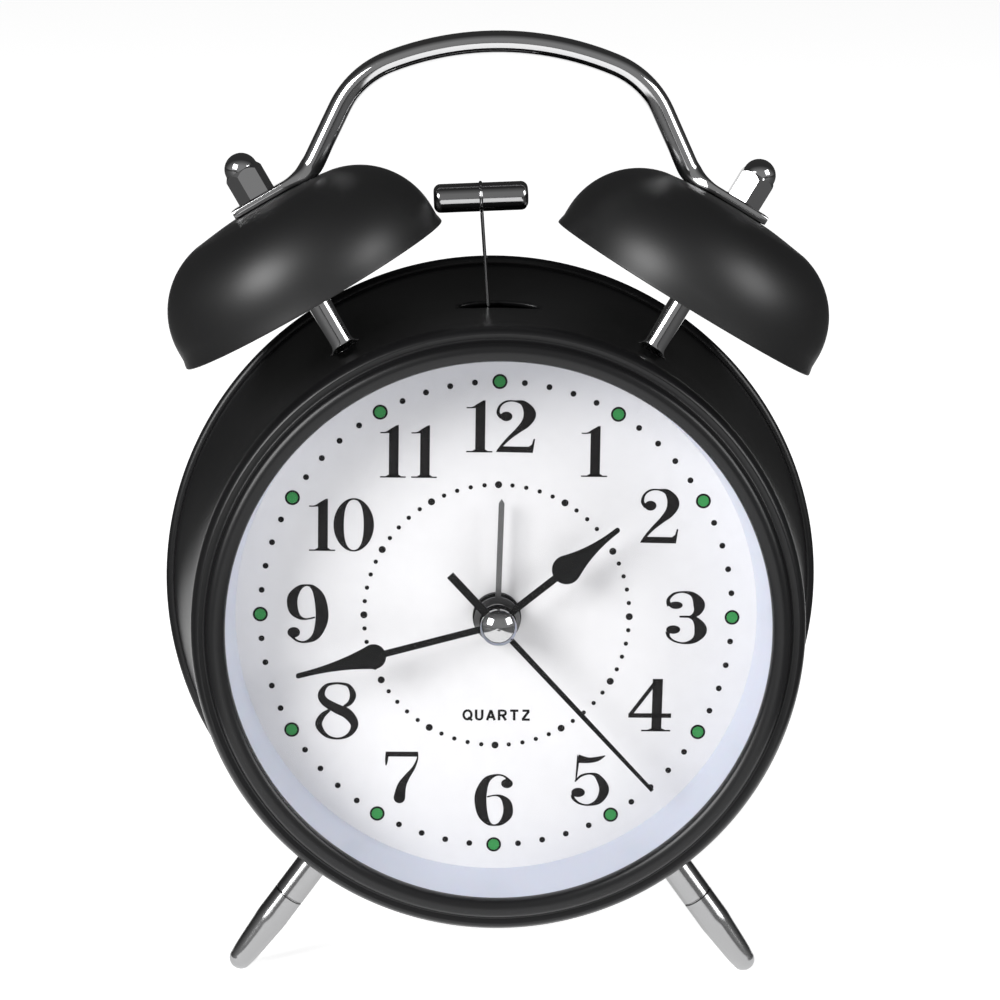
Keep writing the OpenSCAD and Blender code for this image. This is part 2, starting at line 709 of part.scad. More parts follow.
module movement_screws() {
    color([0.75, 0.75, 0.77]) {
        for (x = [-1, 1]) for (z = movement_z) translate([x * (movement_x - 2.4), movement_y[1], z - sign(z) * 2.4])
            screw(1.6, 0.8, 0.8, 12);
    }
    color([0.75, 0.75, 0.77]) for (s = [-1, 1]) translate([s * 6.8, 14.4, 15]) {
        cylinder(r = 1.8, h = 0.8, $fn = 32);
        translate([0, 0, -1]) cylinder(r = 1, h = 1 + eps, $fn = 32);
    }
}
module tube(r0, r1, y0, y1) {
    difference() {
        rod_y(r1, y0, y1);
        rod_y(r0, y0 - 1, y1 + 1);
    }
}
module alarm_wheel() {
    color([0.9, 0.85, 0.7]) difference() {
        union() {
            gear(alarm_m, alarm_teeth[1], alarm_wheel_y, wheel_t, alarm_dir);
            rod_y(alarm_tube_r, alarm_hand_y - 0.1, alarm_wheel_y + wheel_t);
        }
        rod_y(hour_tube_r + run_fit, alarm_hand_y - 1, 10);
    }
}
module hour_wheel() {
    color([0.9, 0.9, 0.88]) difference() {
        union() {
            gear(motion_m, hour_teeth[1], hour_wheel_y, wheel_t, gap_turn(minute_dir + 180, hour_teeth[1]));
            rod_y(hour_tube_r, hour_hand_y - 0.1, hour_wheel_y + wheel_t);
        }
        rod_y(minute_tube_r + run_fit, hour_hand_y - 1, 10);
    }
}
module centre_wheel() {
    color([0.85, 0.72, 0.4]) difference() {
        union() {
            gear(centre_m, centre_teeth[1], centre_wheel_y, wheel_t, gap_turn(third_dir + 180, centre_teeth[1]));
            gear(motion_m, cannon_teeth[0], minute_wheel_y - 0.2, wheel_t + 0.4, minute_dir);
            rod_y(minute_tube_r, minute_hand_y - 0.1, centre_wheel_y + wheel_t);
        }
        rod_y(arbor_r + run_fit, minute_hand_y - 1, 12, 32);
    }
}
module minute_wheel() {
    color([0.9, 0.9, 0.88]) to(minute_xz) {
        gear(motion_m, cannon_teeth[1], minute_wheel_y, wheel_t, gap_turn(minute_dir, cannon_teeth[1]));
        gear(motion_m, hour_teeth[0], hour_wheel_y - 0.2, minute_wheel_y - hour_wheel_y + 0.2 + eps, minute_dir + 180);
        rod_y(knob_shaft_r, minute_wheel_y + wheel_t - eps, 35);
    }
}
module third_wheel() {
    color([0.85, 0.72, 0.4]) to(third_xz) {
        gear(third_m, third_teeth[1], third_wheel_y, wheel_t, gap_turn(third_dir, third_teeth[1]));
        gear(centre_m, centre_teeth[0], centre_wheel_y - 0.2, third_wheel_y - centre_wheel_y + 0.2 + eps, third_dir + 180);
        rod_y(arbor_r, third_wheel_y + wheel_t - eps, movement_y[1] - 0.6, 32);
    }
}
module second_wheel() {
    color([0.9, 0.9, 0.88]) {
        gear(mid_m, mid_teeth[1], second_wheel_y, wheel_t, gap_turn(mid_dir + 180, mid_teeth[1]));
        gear(third_m, third_teeth[0], third_wheel_y - 0.2, second_wheel_y - third_wheel_y + 0.2 + eps, third_dir);
        rod_y(arbor_r, second_hand_y - 0.3, movement_y[1] - 0.6, 32);
    }
}
module intermediate_wheel() {
    color([0.9, 0.9, 0.88]) to(mid_xz) {
        gear(rotor_m, rotor_teeth[1], mid_wheel_y, wheel_t, gap_turn(rotor_dir + 180, rotor_teeth[1]));
        gear(mid_m, mid_teeth[0], second_wheel_y - 0.2, mid_wheel_y - second_wheel_y + 0.2 + eps, mid_dir + 180);
        rod_y(arbor_r, mid_wheel_y + wheel_t - eps, movement_y[1] - 0.6, 32);
    }
}
module rotor() {
    color([0.35, 0.35, 0.38]) to(rotor_xz) {
        rod_y(2.3, 10.4, 12.4);
        rod_y(0.55, 12.4 - eps, 13.2 + eps, 32);
        gear(rotor_m, rotor_teeth[0], 13.2, 1, rotor_dir + 180);
        rod_y(arbor_r, 14.2 - eps, movement_y[1] - 0.6, 32);
    }
}
coil_x = 20;
coil_z = [-19, -1];
module stator() {
    color([0.6, 0.6, 0.62]) slab(11, 11.8) difference() {
        union() {
            translate([rotor_xz[0], rotor_xz[1]]) circle(4, $fn = 48);
            translate([rotor_xz[0], -22]) square([coil_x + 1.5 - rotor_xz[0], 3]);
            translate([rotor_xz[0] - 1.5, -22]) square([3, 9]);
            translate([rotor_xz[0], coil_z[1]]) square([coil_x + 1.5 - rotor_xz[0], 3]);
            translate([rotor_xz[0] - 1.5, rotor_xz[1]]) square([3, coil_z[1] + 3 - rotor_xz[1]]);
        }
        translate([rotor_xz[0], rotor_xz[1]]) circle(2.7, $fn = 48);
    }
}
module coil() {
    color([0.75, 0.4, 0.2]) translate([coil_x, 8.4, coil_z[0]]) difference() {
        union() {
            cylinder(r = 2.5, h = coil_z[1] - coil_z[0], $fn = 48);
            for (z = [0, coil_z[1] - coil_z[0] - 0.6]) translate([-2.6, -2.6, z]) cube([5.2, 5.1, 0.6]);
        }
        translate([0, 0, -1]) cylinder(r = 0.9, h = 30, $fn = 32);
    }
}
module circuit_board() {
    color([0.1, 0.35, 0.2]) translate([-23, 11, -20]) cube([13, 1, 17]);
    color([0.2, 0.2, 0.2]) translate([-18, 9.4, -14]) cube([5, 1.6 + eps, 5]);
    color([0.75, 0.75, 0.77]) translate([-21.6, 9.9, -19]) cylinder(r = 1.1 + eps, h = 6, $fn = 32);
}
module led_board() {
    color([0.9, 0.95, 1]) translate([-3, -8, -48.3]) cube([6, 4, 0.8]);
    color([0.95, 0.95, 0.8]) translate([-1.2, -7, -47.5 - eps]) cube([2.4, 2, 1]);
}

// ---- controls ----
module knob() {
    ribs = 28;
    slab(cover_y[1] + 1.8, cover_y[1] + 1.8 + knob_h) polygon([for (i = [0:2 * ribs - 1])
        tooth(knob_r - 0.25 * (i % 2), i * 180 / ribs)]);
}
module time_knob() {
    color([0.07, 0.07, 0.075]) to(minute_xz) difference() {
        knob();
        rod_y(knob_shaft_r, 30, 35);
    }
}
module alarm_knob() {
    color([0.07, 0.07, 0.075]) to(alarm_xz) {
        knob();
        rod_y(knob_shaft_r, alarm_wheel_y + wheel_t + 0.2 - eps, cover_y[1] + 2);
        gear(alarm_m, alarm_teeth[0], alarm_wheel_y - 0.1, wheel_t + 0.3, gap_turn(alarm_dir, alarm_teeth[0]));
    }
}
module alarm_switch() {
    color([0.8, 0.8, 0.8]) to(switch_xz) translate([-switch_travel / 2, 0, 0]) {
        translate([-switch_size[0] / 2, 30.2, -switch_size[1] / 2]) cube([switch_size[0], 4.8, switch_size[1]]);
        translate([-switch_size[0] / 2 - 1, 29.2, -switch_size[1] / 2 - 1]) cube([switch_size[0] + 2, 1.2, switch_size[1] + 2]);
    }
}
module light_button() {
    color([0.8, 0.8, 0.8]) to(button_xz) {
        translate([-button_size[0] / 2, 30.2, -button_size[1] / 2]) cube([button_size[0], 5, button_size[1]]);
        translate([-button_size[0] / 2 - 1, 29.4, -button_size[1] / 2 - 1]) cube([button_size[0] + 2, 1.2, button_size[1] + 2]);
    }
}

// ---- batteries ----
module cell(z, way) {
    translate([-way * cell_l / 2, cell_y, z]) rotate([0, way * 90, 0]) {
        cylinder(d = cell_d, h = cell_l - 1.2, $fn = 64);
        translate([0, 0, cell_l - 1.2 - eps]) cylinder(r = 2.7, h = 1.2 + eps, $fn = 48);
    }
}
module upper_battery() {
    color([0.75, 0.6, 0.3]) cell(cell_z[0], 1);
}
module lower_battery() {
    color([0.75, 0.6, 0.3]) cell(cell_z[1], -1);
}
// Flattened coil springs, one at each cell's flat end
module battery_springs() {
    spring_l = bay_x - 0.4 - cell_l / 2;
    turns = 3;
    color([0.8, 0.8, 0.82]) for (i = [0, 1]) let (s = i == 0 ? -1 : 1)
        for (k = [0:turns - 1]) translate([s * (cell_l / 2 + spring_l * (k + 0.5) / turns), cell_y, cell_z[i]])
            rotate([0, 90, 0]) rotate_extrude($fn = 48)
                translate([2.2 + 0.6 * k, 0]) circle(spring_l / turns / 2, $fn = 24);
}
module battery_plates() {
    color([0.8, 0.8, 0.82]) for (s = [-1, 1])
        translate([s * (bay_x - 0.2) - 0.2, cell_y - 5.5, bay_z[0] + 2]) cube([0.4, 11, bay_z[1] - bay_z[0] - 4]);
}

stand() case_shell();
stand() bezel();
stand() lens();
stand() dial_ring();
stand() dial_plate();
stand() dial_frame();
stand() back_cover();
stand() battery_door();
stand() door_pin();
stand() cover_screws();
stand() bell(-1);  // left_bell
stand() bell(1);  // right_bell
stand() bell_posts();
stand() inner_nuts();
stand() dome_nuts();
stand() handle();
stand() foot(-1);  // left_foot
stand() foot(1);  // right_foot
on_table() foot_tip(-1);  // left_foot_tip
on_table() foot_tip(1);  // right_foot_tip
stand() hammer_head();
stand() hammer_wire();
stand() hammer_lever();
stand() hammer_pin();
stand() striker_bracket();
stand() striker_motor();
stand() striker_cam();
stand() alarm_hand();
stand() hour_hand();
stand() minute_hand();
stand() second_hand();
stand() centre_cap();
stand() movement_front();
stand() movement_rear();
stand() bush_nut();
stand() movement_screws();
stand() alarm_wheel();
stand() hour_wheel();
stand() minute_wheel();
stand() centre_wheel();
stand() third_wheel();
stand() second_wheel();
stand() intermediate_wheel();
stand() rotor();
stand() stator();
stand() coil();
stand() circuit_board();
stand() led_board();
stand() time_knob();
stand() alarm_knob();
stand() alarm_switch();
stand() light_button();
stand() upper_battery();
stand() lower_battery();
stand() battery_springs();
stand() battery_plates();
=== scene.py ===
"""Twin-bell alarm clock: looks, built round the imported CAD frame.

Sizes are in millimetres in the clock's own frame: origin at the dial's centre, X to the right, Y into the
clock and Z up the dial. on_stand() leans a piece back onto its feet and turns millimetres into metres.
"""
import json
import math

import bmesh
import bpy
from mathutils import Matrix, Vector


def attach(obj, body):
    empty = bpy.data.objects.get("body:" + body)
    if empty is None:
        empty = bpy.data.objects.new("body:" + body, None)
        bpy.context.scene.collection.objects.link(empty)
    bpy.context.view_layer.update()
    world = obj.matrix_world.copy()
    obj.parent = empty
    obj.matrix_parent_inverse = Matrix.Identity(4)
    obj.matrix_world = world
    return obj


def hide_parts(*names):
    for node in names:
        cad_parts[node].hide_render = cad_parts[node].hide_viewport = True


MM = 0.001

# Case, as in the CAD model
NECK_R = 50.3
NECK_Y = -10.0
FLARE_R = 56.6
FLARE_DEPTH = 41.0
SHEET = 0.7
BEAD_R = 1.1
BEAD_AT = (57.1, 33.2)
OPENING_R = 45.2
BEZEL_R = 51.1
SLOT_WIDTH = 14.0
SLOT_DEPTH = 4.6
SLOT_Y = 10.6
SLOT_FROM = 40
SLOT_CUT = 20
SLOT_ROUNDING = 0.8
BEAD_ARC = (-110, 140)
LATHE_STEPS = 256

# Bells
BELL_ANGLE = 30.5
BELL_Y = 10.0
BELL_MOUTH = 61.8
BELL_LIP_R = 25.0
BELL_WALL_R = 24.75
BELL_H = 17.6
BELL_T = 0.9
BELL_ARC_R = 13.95
BELL_ARC_V = 3.0
BELL_ARC_END = 78
CROWN_DROP = 0.22
CROWN_R = (8.0, 4.5)
STUD_R = 1.5
POST_R = 2.0
POST_FOOT = 51.2
POST_SINK = -0.5
STUD_H = 7

# Handle
ROD_R = 1.9
HANDLE_TOP = 96.1
TOP_ARC_R = 51.4
TOP_ARC_A = 21.7
SHOULDER_R = 15.5
LEG_A = 25.2
TAB_T = 1.7
TAB_W = 7.0
TAB_END = 4.8
BEND_R = 7.0
FLAT_FROM = 15.5
FLAT_OVER = 5.5
TAB_SQUARENESS = 4
END_ROUND = 0.35
END_NIP = 0.12

# Feet
FOOT_ANGLE = 36.0
FOOT_Y = -3.0
FOOT_JOINT = 59.3
FOOT_REACH = 73.3
FOOT_R = 2.7
FOOT_TIP_R = 2.0
FOOT_ROOT = 49.6
FOOT_EDGE = 0.12
FOOT_GAP = 0.15
FOOT_GROOVE = 0.25

# Dial print
DIAL_R = 44.2
MINUTE_RING_R = 40.0
INNER_RING_R = 22.5
NUMERAL_RING_R = 32.2
NUMERAL_H = 8.9
PRINT_Y = -0.03
MINUTE_DOT_R = 0.5
HOUR_DOT_R = 1.27
GREEN_DOT_R = 0.93
GREEN_LIFT = 0.03
INNER_DOT_R = 0.37
INNER_HOUR_DOT_R = 0.6

# Camera, in the clock's frame
CAMERA_AT = (-17.5, -531.6, 108.13)
CAMERA_YAW = 1.916
CAMERA_PITCH = 9.42
CAMERA_ROLL = 0.784
CAMERA_LENS = 115.2
SENSOR_WIDTH = 36

# Studio: the room is bright low down in front of the clock, and dark behind and above it
FRONT_LIGHT = 0.36
BACK_LIGHT = 0.05
TOWARDS_DARK = (0, 0.74, 0.67)
DARK_FROM = -0.2
DARK_TO = 0.5

# Softboxes, in metres and watts
LIGHT_AIM = (0, 0, 0.08)
SOFTBOX = (0.65, 0.65)
LEFT_LIGHT_AT = (-0.85, -0.85, 0.66)
LEFT_LIGHT_POWER = 17
RIGHT_LIGHT_AT = (1.05, -0.62, 0.66)
RIGHT_LIGHT_POWER = 9

# Floor: the camera's view runs out along the middle, and the floor turns dark beside it
FLOOR_SIZE = 20
VIEW_SLANT = 0.034
VIEW_SPREAD = 0.155
VIEW_HALF_WIDTH = 0.1
FADE_FROM = 1.03
FADE_TO = 1.35
FLOOR_WHITE = 0.9
FLOOR_DARK = 0.1
FLOOR_GLOW = 0.8
FLOOR_DIM = 0.02

# Bevels on CAD nodes
MOULDED_EDGE = 0.15
STAMPED_EDGE = 0.06
MOULDED_NODES = ("back_cover", "battery_door", "time_knob", "alarm_knob", "alarm_switch", "light_button")
STAMPED_NODES = ("hour_hand", "minute_hand", "second_hand", "alarm_hand")

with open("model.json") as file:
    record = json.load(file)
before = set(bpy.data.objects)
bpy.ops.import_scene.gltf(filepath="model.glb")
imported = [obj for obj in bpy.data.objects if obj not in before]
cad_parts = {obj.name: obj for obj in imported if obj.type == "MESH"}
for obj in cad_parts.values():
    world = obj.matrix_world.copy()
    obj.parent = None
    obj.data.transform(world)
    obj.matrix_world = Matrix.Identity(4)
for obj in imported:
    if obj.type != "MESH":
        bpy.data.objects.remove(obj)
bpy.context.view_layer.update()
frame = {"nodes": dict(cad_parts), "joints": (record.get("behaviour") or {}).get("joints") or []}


# ---- the clock's own frame ----
def dial_joint():
    return next(j for j in frame["joints"] if j["name"] == "second_hand")


def clock_matrix():
    joint = dial_joint()
    into = Vector(joint["axis"]).normalized()
    side = Vector((1, 0, 0))
    up = side.cross(into)
    turn = Matrix((side, into, up)).transposed().to_4x4()
    return Matrix.Translation(Vector(joint["pos_m"])) @ turn @ Matrix.Scale(MM, 4)


STAND = clock_matrix()


def on_stand(piece, body="clock"):
    piece.data.transform(STAND)
    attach(piece, body)
    return piece


def radial(side, angle, depth, distance=0.0):
    """Matrix whose Z runs out from the clock's centre line, at an angle from upright."""
    turn = Matrix.Rotation(math.radians(side * angle), 4, "Y")
    return Matrix.Translation((0, depth, 0)) @ turn @ Matrix.Translation((0, 0, distance))


# ---- mesh helpers ----
def new_piece(name, bm, mat, smooth_angle=35.0):
    bmesh.ops.recalc_face_normals(bm, faces=bm.faces)
    mesh = bpy.data.meshes.new(name)
    bm.to_mesh(mesh)
    bm.free()
    for face in mesh.polygons:
        face.use_smooth = True
    mesh.set_sharp_from_angle(angle=math.radians(smooth_angle))
    piece = bpy.data.objects.new(name, mesh)
    bpy.context.collection.objects.link(piece)
    mesh.materials.append(mat)
    return piece


def arc(centre, radius, start, end, count):
    """Points on an arc, angles in degrees from the first axis."""
    step = (end - start) / count
    angles = [math.radians(start + step * i) for i in range(count + 1)]
    return [(centre[0] + radius * math.cos(a), centre[1] + radius * math.sin(a)) for a in angles]


def smooth_through(points, per_span=6):
    """Catmull-Rom curve through points of any number of components."""
    rows = [points[0]] + list(points) + [points[-1]]
    out = []
    for i in range(1, len(rows) - 2):
        for k in range(per_span):
            t = k / per_span
            quad = zip(rows[i - 1], rows[i], rows[i + 1], rows[i + 2])
            out.append(tuple(catmull(a, b, c, d, t) for a, b, c, d in quad))
    out.append(tuple(points[-1]))
    return out


def catmull(a, b, c, d, t):
    first = 2 * b + (c - a) * t
    second = (2 * a - 5 * b + 4 * c - d) * t * t
    third = (3 * b - a - 3 * c + d) * t * t * t
    return 0.5 * (first + second + third)


def lathe(name, profile, mat, steps=192, closed=False, place=None, smooth_angle=35.0):
    """Turns (radius, along) points round Z, then places the piece. A radius of 0 makes a pole."""
    bm = bmesh.new()
    rings = []
    for radius, along in profile:
        if radius < 1e-6:
            rings.append([bm.verts.new((0, 0, along))])
            continue
        ring = []
        for i in range(steps):
            a = 2 * math.pi * i / steps
            ring.append(bm.verts.new((radius * math.cos(a), radius * math.sin(a), along)))
        rings.append(ring)
    pairs = list(zip(rings, rings[1:]))
    if closed:
        pairs.append((rings[-1], rings[0]))
    for low, high in pairs:
        for i in range(steps):
            j = (i + 1) % steps
            corners = [low[i % len(low)], low[j % len(low)], high[j % len(high)], high[i % len(high)]]
            unique = list(dict.fromkeys(corners))
            if len(unique) > 2:
                bm.faces.new(unique)
    if place is not None:
        bmesh.ops.transform(bm, matrix=place, verts=bm.verts)
    return new_piece(name, bm, mat, smooth_angle)


ALONG_DEPTH = Matrix.Rotation(math.radians(-90), 4, "X")


def sweep(name, stations, mat, sides=32):
    """Skins rings round a path. A station is centre, first half axis, second half axis, squareness."""
    bm = bmesh.new()
    rings = []
    for centre, across, through, power in stations:
        ring = []
        for i in range(sides):
            a = 2 * math.pi * i / sides
            c = math.cos(a)
            s = math.sin(a)
            u = math.copysign(abs(c) ** (2 / power), c)
            v = math.copysign(abs(s) ** (2 / power), s)
            ring.append(bm.verts.new(centre + across * u + through * v))
        rings.append(ring)
    for low, high in zip(rings, rings[1:]):
        for i in range(sides):
            j = (i + 1) % sides
            bm.faces.new((low[i], low[j], high[j], high[i]))
    bm.faces.new(rings[0])
    bm.faces.new(rings[-1])
    return new_piece(name, bm, mat, 50.0)


# ---- materials ----
def material(name, colour, roughness, metallic=0.0, **sockets):
    mat = bpy.data.materials.new(name)
    mat.use_nodes = True
    shader = mat.node_tree.nodes["Principled BSDF"]
    shader.inputs["Base Color"].default_value = (*colour, 1)
    shader.inputs["Roughness"].default_value = roughness
    shader.inputs["Metallic"].default_value = metallic
    for socket, value in sockets.items():
        shader.inputs[socket.replace("_", " ")].default_value = value
    return mat


def node(mat, kind, **values):
    made = mat.node_tree.nodes.new(kind)
    for key, value in values.items():
        made.inputs[key.replace("_", " ")].default_value = value
    return made


def shader_of(mat):
    return mat.node_tree.nodes["Principled BSDF"]


def wire(mat, from_node, output, to_node, entry):
    mat.node_tree.links.new(from_node.outputs[output], to_node.inputs[entry])


def position(mat):
    return node(mat, "ShaderNodeNewGeometry")


def add_grain(mat, scale, height, detail=3.0):
    """Fine surface relief, height in metres."""
    noise = node(mat, "ShaderNodeTexNoise", Scale=scale, Detail=detail)
    bump = node(mat, "ShaderNodeBump", Strength=1.0, Distance=height)
    wire(mat, position(mat), "Position", noise, "Vector")
    wire(mat, noise, "Fac", bump, "Height")
    wire(mat, bump, "Normal", shader_of(mat), "Normal")


def vary_roughness(mat, scale, low, high):
    noise = node(mat, "ShaderNodeTexNoise", Scale=scale, Detail=4.0)
    spread = node(mat, "ShaderNodeMapRange", To_Min=low, To_Max=high)
    wire(mat, position(mat), "Position", noise, "Vector")
    wire(mat, noise, "Fac", spread, "Value")
    wire(mat, spread, "Result", shader_of(mat), "Roughness")


def vary_colour(mat, scale, first, second):
    noise = node(mat, "ShaderNodeTexNoise", Scale=scale, Detail=5.0)
    ramp = node(mat, "ShaderNodeValToRGB")
    ramp.color_ramp.elements[0].color = (*first, 1)
    ramp.color_ramp.elements[0].position = 0.3
    ramp.color_ramp.elements[1].color = (*second, 1)
    ramp.color_ramp.elements[1].position = 0.7
    wire(mat, position(mat), "Position", noise, "Vector")
    wire(mat, noise, "Fac", ramp, "Fac")
    wire(mat, ramp, "Color", shader_of(mat), "Base Color")


def case_paint():
    mat = material("case_paint", (0.008, 0.008, 0.0085), 0.3, Specular_IOR_Level=0.3)
    add_grain(mat, 2600, 0.000004)
    vary_roughness(mat, 90, 0.26, 0.34)
    return mat


def bell_paint():
    mat = material("bell_paint", (0.009, 0.009, 0.0093), 0.43, Specular_IOR_Level=0.5)
    add_grain(mat, 3800, 0.000006)
    vary_roughness(mat, 60, 0.4, 0.46)
    return mat


def chrome(name, tone, roughness):
    mat = material(name, (tone, tone, tone * 1.01), roughness, metallic=1.0)
    vary_roughness(mat, 160, roughness * 0.7, roughness * 1.5)
    add_grain(mat, 900, 0.0000008)
    return mat


def steel(name, tone, roughness):
    mat = material(name, (tone, tone, tone * 1.01), roughness, metallic=1.0)
    vary_roughness(mat, 400, roughness * 0.8, roughness * 1.3)
    add_grain(mat, 3000, 0.000003)
    return mat


def moulded(name, colour, roughness):
    """Plastic with the fine spark texture of a mould."""
    mat = material(name, colour, roughness)
    add_grain(mat, 2400, 0.000012)
    vary_roughness(mat, 300, roughness * 0.9, roughness * 1.1)
    return mat


def brass():
    mat = material("brass", (0.75, 0.56, 0.26), 0.24, metallic=1.0)
    vary_colour(mat, 400, (0.70, 0.50, 0.22), (0.80, 0.62, 0.32))
    add_grain(mat, 2500, 0.000002)
    return mat


def dial_white():
    mat = material("dial_white", (0.78, 0.775, 0.785), 0.45)
    vary_colour(mat, 500, (0.765, 0.76, 0.77), (0.79, 0.785, 0.795))
    add_grain(mat, 5000, 0.000002)
    return mat


def print_ink(name, colour):
    mat = material(name, colour, 0.5, Specular_IOR_Level=0.1)
    add_grain(mat, 6000, 0.000003)
    return mat


def ring_plastic():
    mat = material("ring_plastic", (0.6, 0.63, 0.73), 0.3, Subsurface_Weight=0.15, Subsurface_Scale=0.002)
    add_grain(mat, 700, 0.00002, 2.0)
    return mat


def clear_glass():
    mat = material("clear_glass", (0.05, 0.05, 0.055), 0.02, Alpha=0.03)
    add_grain(mat, 300, 0.000001, 1.0)
    return mat


def winding():
    mat = material("winding", (0.5, 0.2, 0.07), 0.3, metallic=0.7)
    wave = node(mat, "ShaderNodeTexWave", Scale=4000.0)
    wave.bands_direction = "Z"
    bump = node(mat, "ShaderNodeBump", Strength=1.0, Distance=0.00004)
    wire(mat, position(mat), "Position", wave, "Vector")
    wire(mat, wave, "Fac", bump, "Height")
    wire(mat, bump, "Normal", shader_of(mat), "Normal")
    return mat


def battery_sleeve():
    mat = material("battery_sleeve", (0.05, 0.05, 0.055), 0.25, metallic=0.6)
    vary_colour(mat, 30, (0.05, 0.05, 0.055), (0.09, 0.085, 0.08))
    add_grain(mat, 1500, 0.000003)
    return mat


MATS = {
    "case": case_paint(),
    "bell": bell_paint(),
    "chrome": chrome("bright_chrome", 0.5, 0.07),
    "foot_chrome": chrome("foot_chrome", 0.32, 0.15),
    "dark_chrome": chrome("dark_chrome", 0.36, 0.09),
    "steel": steel("zinc_steel", 0.62, 0.26),
    "silver": steel("silver_hand", 0.17, 0.34),
    "brass": brass(),
    "dial": dial_white(),
    "ink": print_ink("dial_ink", (0.012, 0.011, 0.011)),
    "green": print_ink("dial_green", (0.045, 0.27, 0.075)),
    "hand": print_ink("hand_black", (0.006, 0.006, 0.006)),
    "ring": ring_plastic(),
    "glass": clear_glass(),
    "black": moulded("black_plastic", (0.014, 0.014, 0.015), 0.42),
    "grey": moulded("grey_plastic", (0.5, 0.5, 0.5), 0.4),
    "white": moulded("white_plastic", (0.78, 0.78, 0.75), 0.4),
    "board": moulded("solder_mask", (0.02, 0.12, 0.05), 0.25),
    "winding": winding(),
    "sleeve": battery_sleeve(),
}
NODE_MATERIALS = {
    "dial": ["dial_plate"],
    "glass": ["lens"],
    "chrome": ["dome_nuts", "centre_cap"],
    "dark_chrome": ["hammer_head", "hammer_wire"],
    "steel": ["cover_screws", "door_pin", "inner_nuts", "hammer_lever", "hammer_pin", "striker_bracket",
              "striker_motor", "movement_screws", "stator", "rotor", "battery_springs", "battery_plates"],
    "silver": ["alarm_hand"],
    "hand": ["hour_hand", "minute_hand", "second_hand", "bush_nut"],
    "brass": ["centre_wheel", "third_wheel"],
    "black": ["back_cover", "battery_door", "time_knob", "alarm_knob"],
    "grey": ["alarm_switch", "light_button", "alarm_wheel"],
    "white": ["dial_frame", "movement_front", "movement_rear", "hour_wheel", "minute_wheel", "second_wheel",
              "intermediate_wheel", "striker_cam"],
    "board": ["circuit_board", "led_board"],
    "winding": ["coil"],
    "sleeve": ["upper_battery", "lower_battery"],
}


def paint_nodes():
    for name, nodes in NODE_MATERIALS.items():
        for cad_node in nodes:
            mesh = frame["nodes"][cad_node].data
            mesh.materials.clear()
            mesh.materials.append(MATS[name])


def soften_edges(cad_node, width):
    """A small bevel catches the light along a moulded or stamped edge."""
    bevel = frame["nodes"][cad_node].modifiers.new("soft_edges", "BEVEL")
    bevel.width = width * MM
    bevel.segments = 2
    bevel.limit_method = "ANGLE"
    bevel.angle_limit = math.radians(40)
    bevel.harden_normals = True


# ---- case ----
def case_radius(y):
    rise = FLARE_R - NECK_R
    arc_r = (FLARE_DEPTH ** 2 + rise ** 2) / (2 * rise)
    return NECK_R + arc_r - math.sqrt(arc_r ** 2 - (y - NECK_Y) ** 2)


def make_case():
    steps = 48
    depths = [NECK_Y + FLARE_DEPTH * i / steps for i in range(steps + 1)]
    outside = [(case_radius(y), y) for y in depths]
    inside = [(r - SHEET, y) for r, y in reversed(outside)]
    bead = arc(BEAD_AT, BEAD_R, *BEAD_ARC, 24)
    shell = lathe("case", outside + bead + inside, MATS["case"], LATHE_STEPS, True, ALONG_DEPTH)
    cut_slot(shell)
    on_stand(shell)
    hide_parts("case_shell")


def cut_slot(shell):
    """The hammer's slot, a lens-shaped opening across the top of the case."""
    half = SLOT_WIDTH / 2
    sides = 48
    bm = bmesh.new()
    outline = []
    for i in range(sides):
        a = 2 * math.pi * i / sides
        y = SLOT_Y + SLOT_DEPTH / 2 * math.copysign(abs(math.sin(a)) ** SLOT_ROUNDING, math.sin(a))
        outline.append(bm.verts.new((half * math.cos(a), y, SLOT_FROM)))
    base = bm.faces.new(outline)
    raised = bmesh.ops.extrude_face_region(bm, geom=[base])
    tops = [v for v in raised["geom"] if isinstance(v, bmesh.types.BMVert)]
    bmesh.ops.translate(bm, vec=(0, 0, SLOT_CUT), verts=tops)
    cutter = new_piece("slot_cutter", bm, MATS["case"])
    cut = shell.modifiers.new("slot", "BOOLEAN")
    cut.operation = "DIFFERENCE"
    cut.object = cutter
    cut.solver = "EXACT"
    depsgraph = bpy.context.evaluated_depsgraph_get()
    result = bpy.data.meshes.new_from_object(shell.evaluated_get(depsgraph))
    shell.modifiers.clear()
    shell.data = result
    bpy.data.objects.remove(cutter)


def make_bezel():
    face = smooth_through([
        (OPENING_R, -15.3), (OPENING_R + 0.25, -15.9), (OPENING_R + 0.9, -16.28), (OPENING_R + 1.8, -16.4),
        (OPENING_R + 2.6, -16.15), (OPENING_R + 3.05, -15.6), (OPENING_R + 3.2, -15.0),
    ])
    groove = smooth_through([
        (OPENING_R + 3.3, -14.7), (OPENING_R + 3.55, -14.5), (BEZEL_R - 1.85, -14.62),
        (BEZEL_R - 1.3, -14.72), (BEZEL_R - 0.75, -14.3), (BEZEL_R - 0.3, -13.4),
        (BEZEL_R - 0.08, -12.4), (BEZEL_R, -11.5),
    ])
    skirt = [(BEZEL_R, -11.2), (BEZEL_R - 0.3, -10.5), (BEZEL_R - 0.9, -10.05), (49.5, -10.0), (49.4, -7.0),
             (48.5, -7.0), (48.5, -13.0), (46.6, -13.0), (46.6, -14.4), (OPENING_R, -14.4)]
    bezel = lathe("bezel_ring", face + groove + skirt, MATS["case"], LATHE_STEPS, True, ALONG_DEPTH)
    on_stand(bezel)
    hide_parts("bezel")


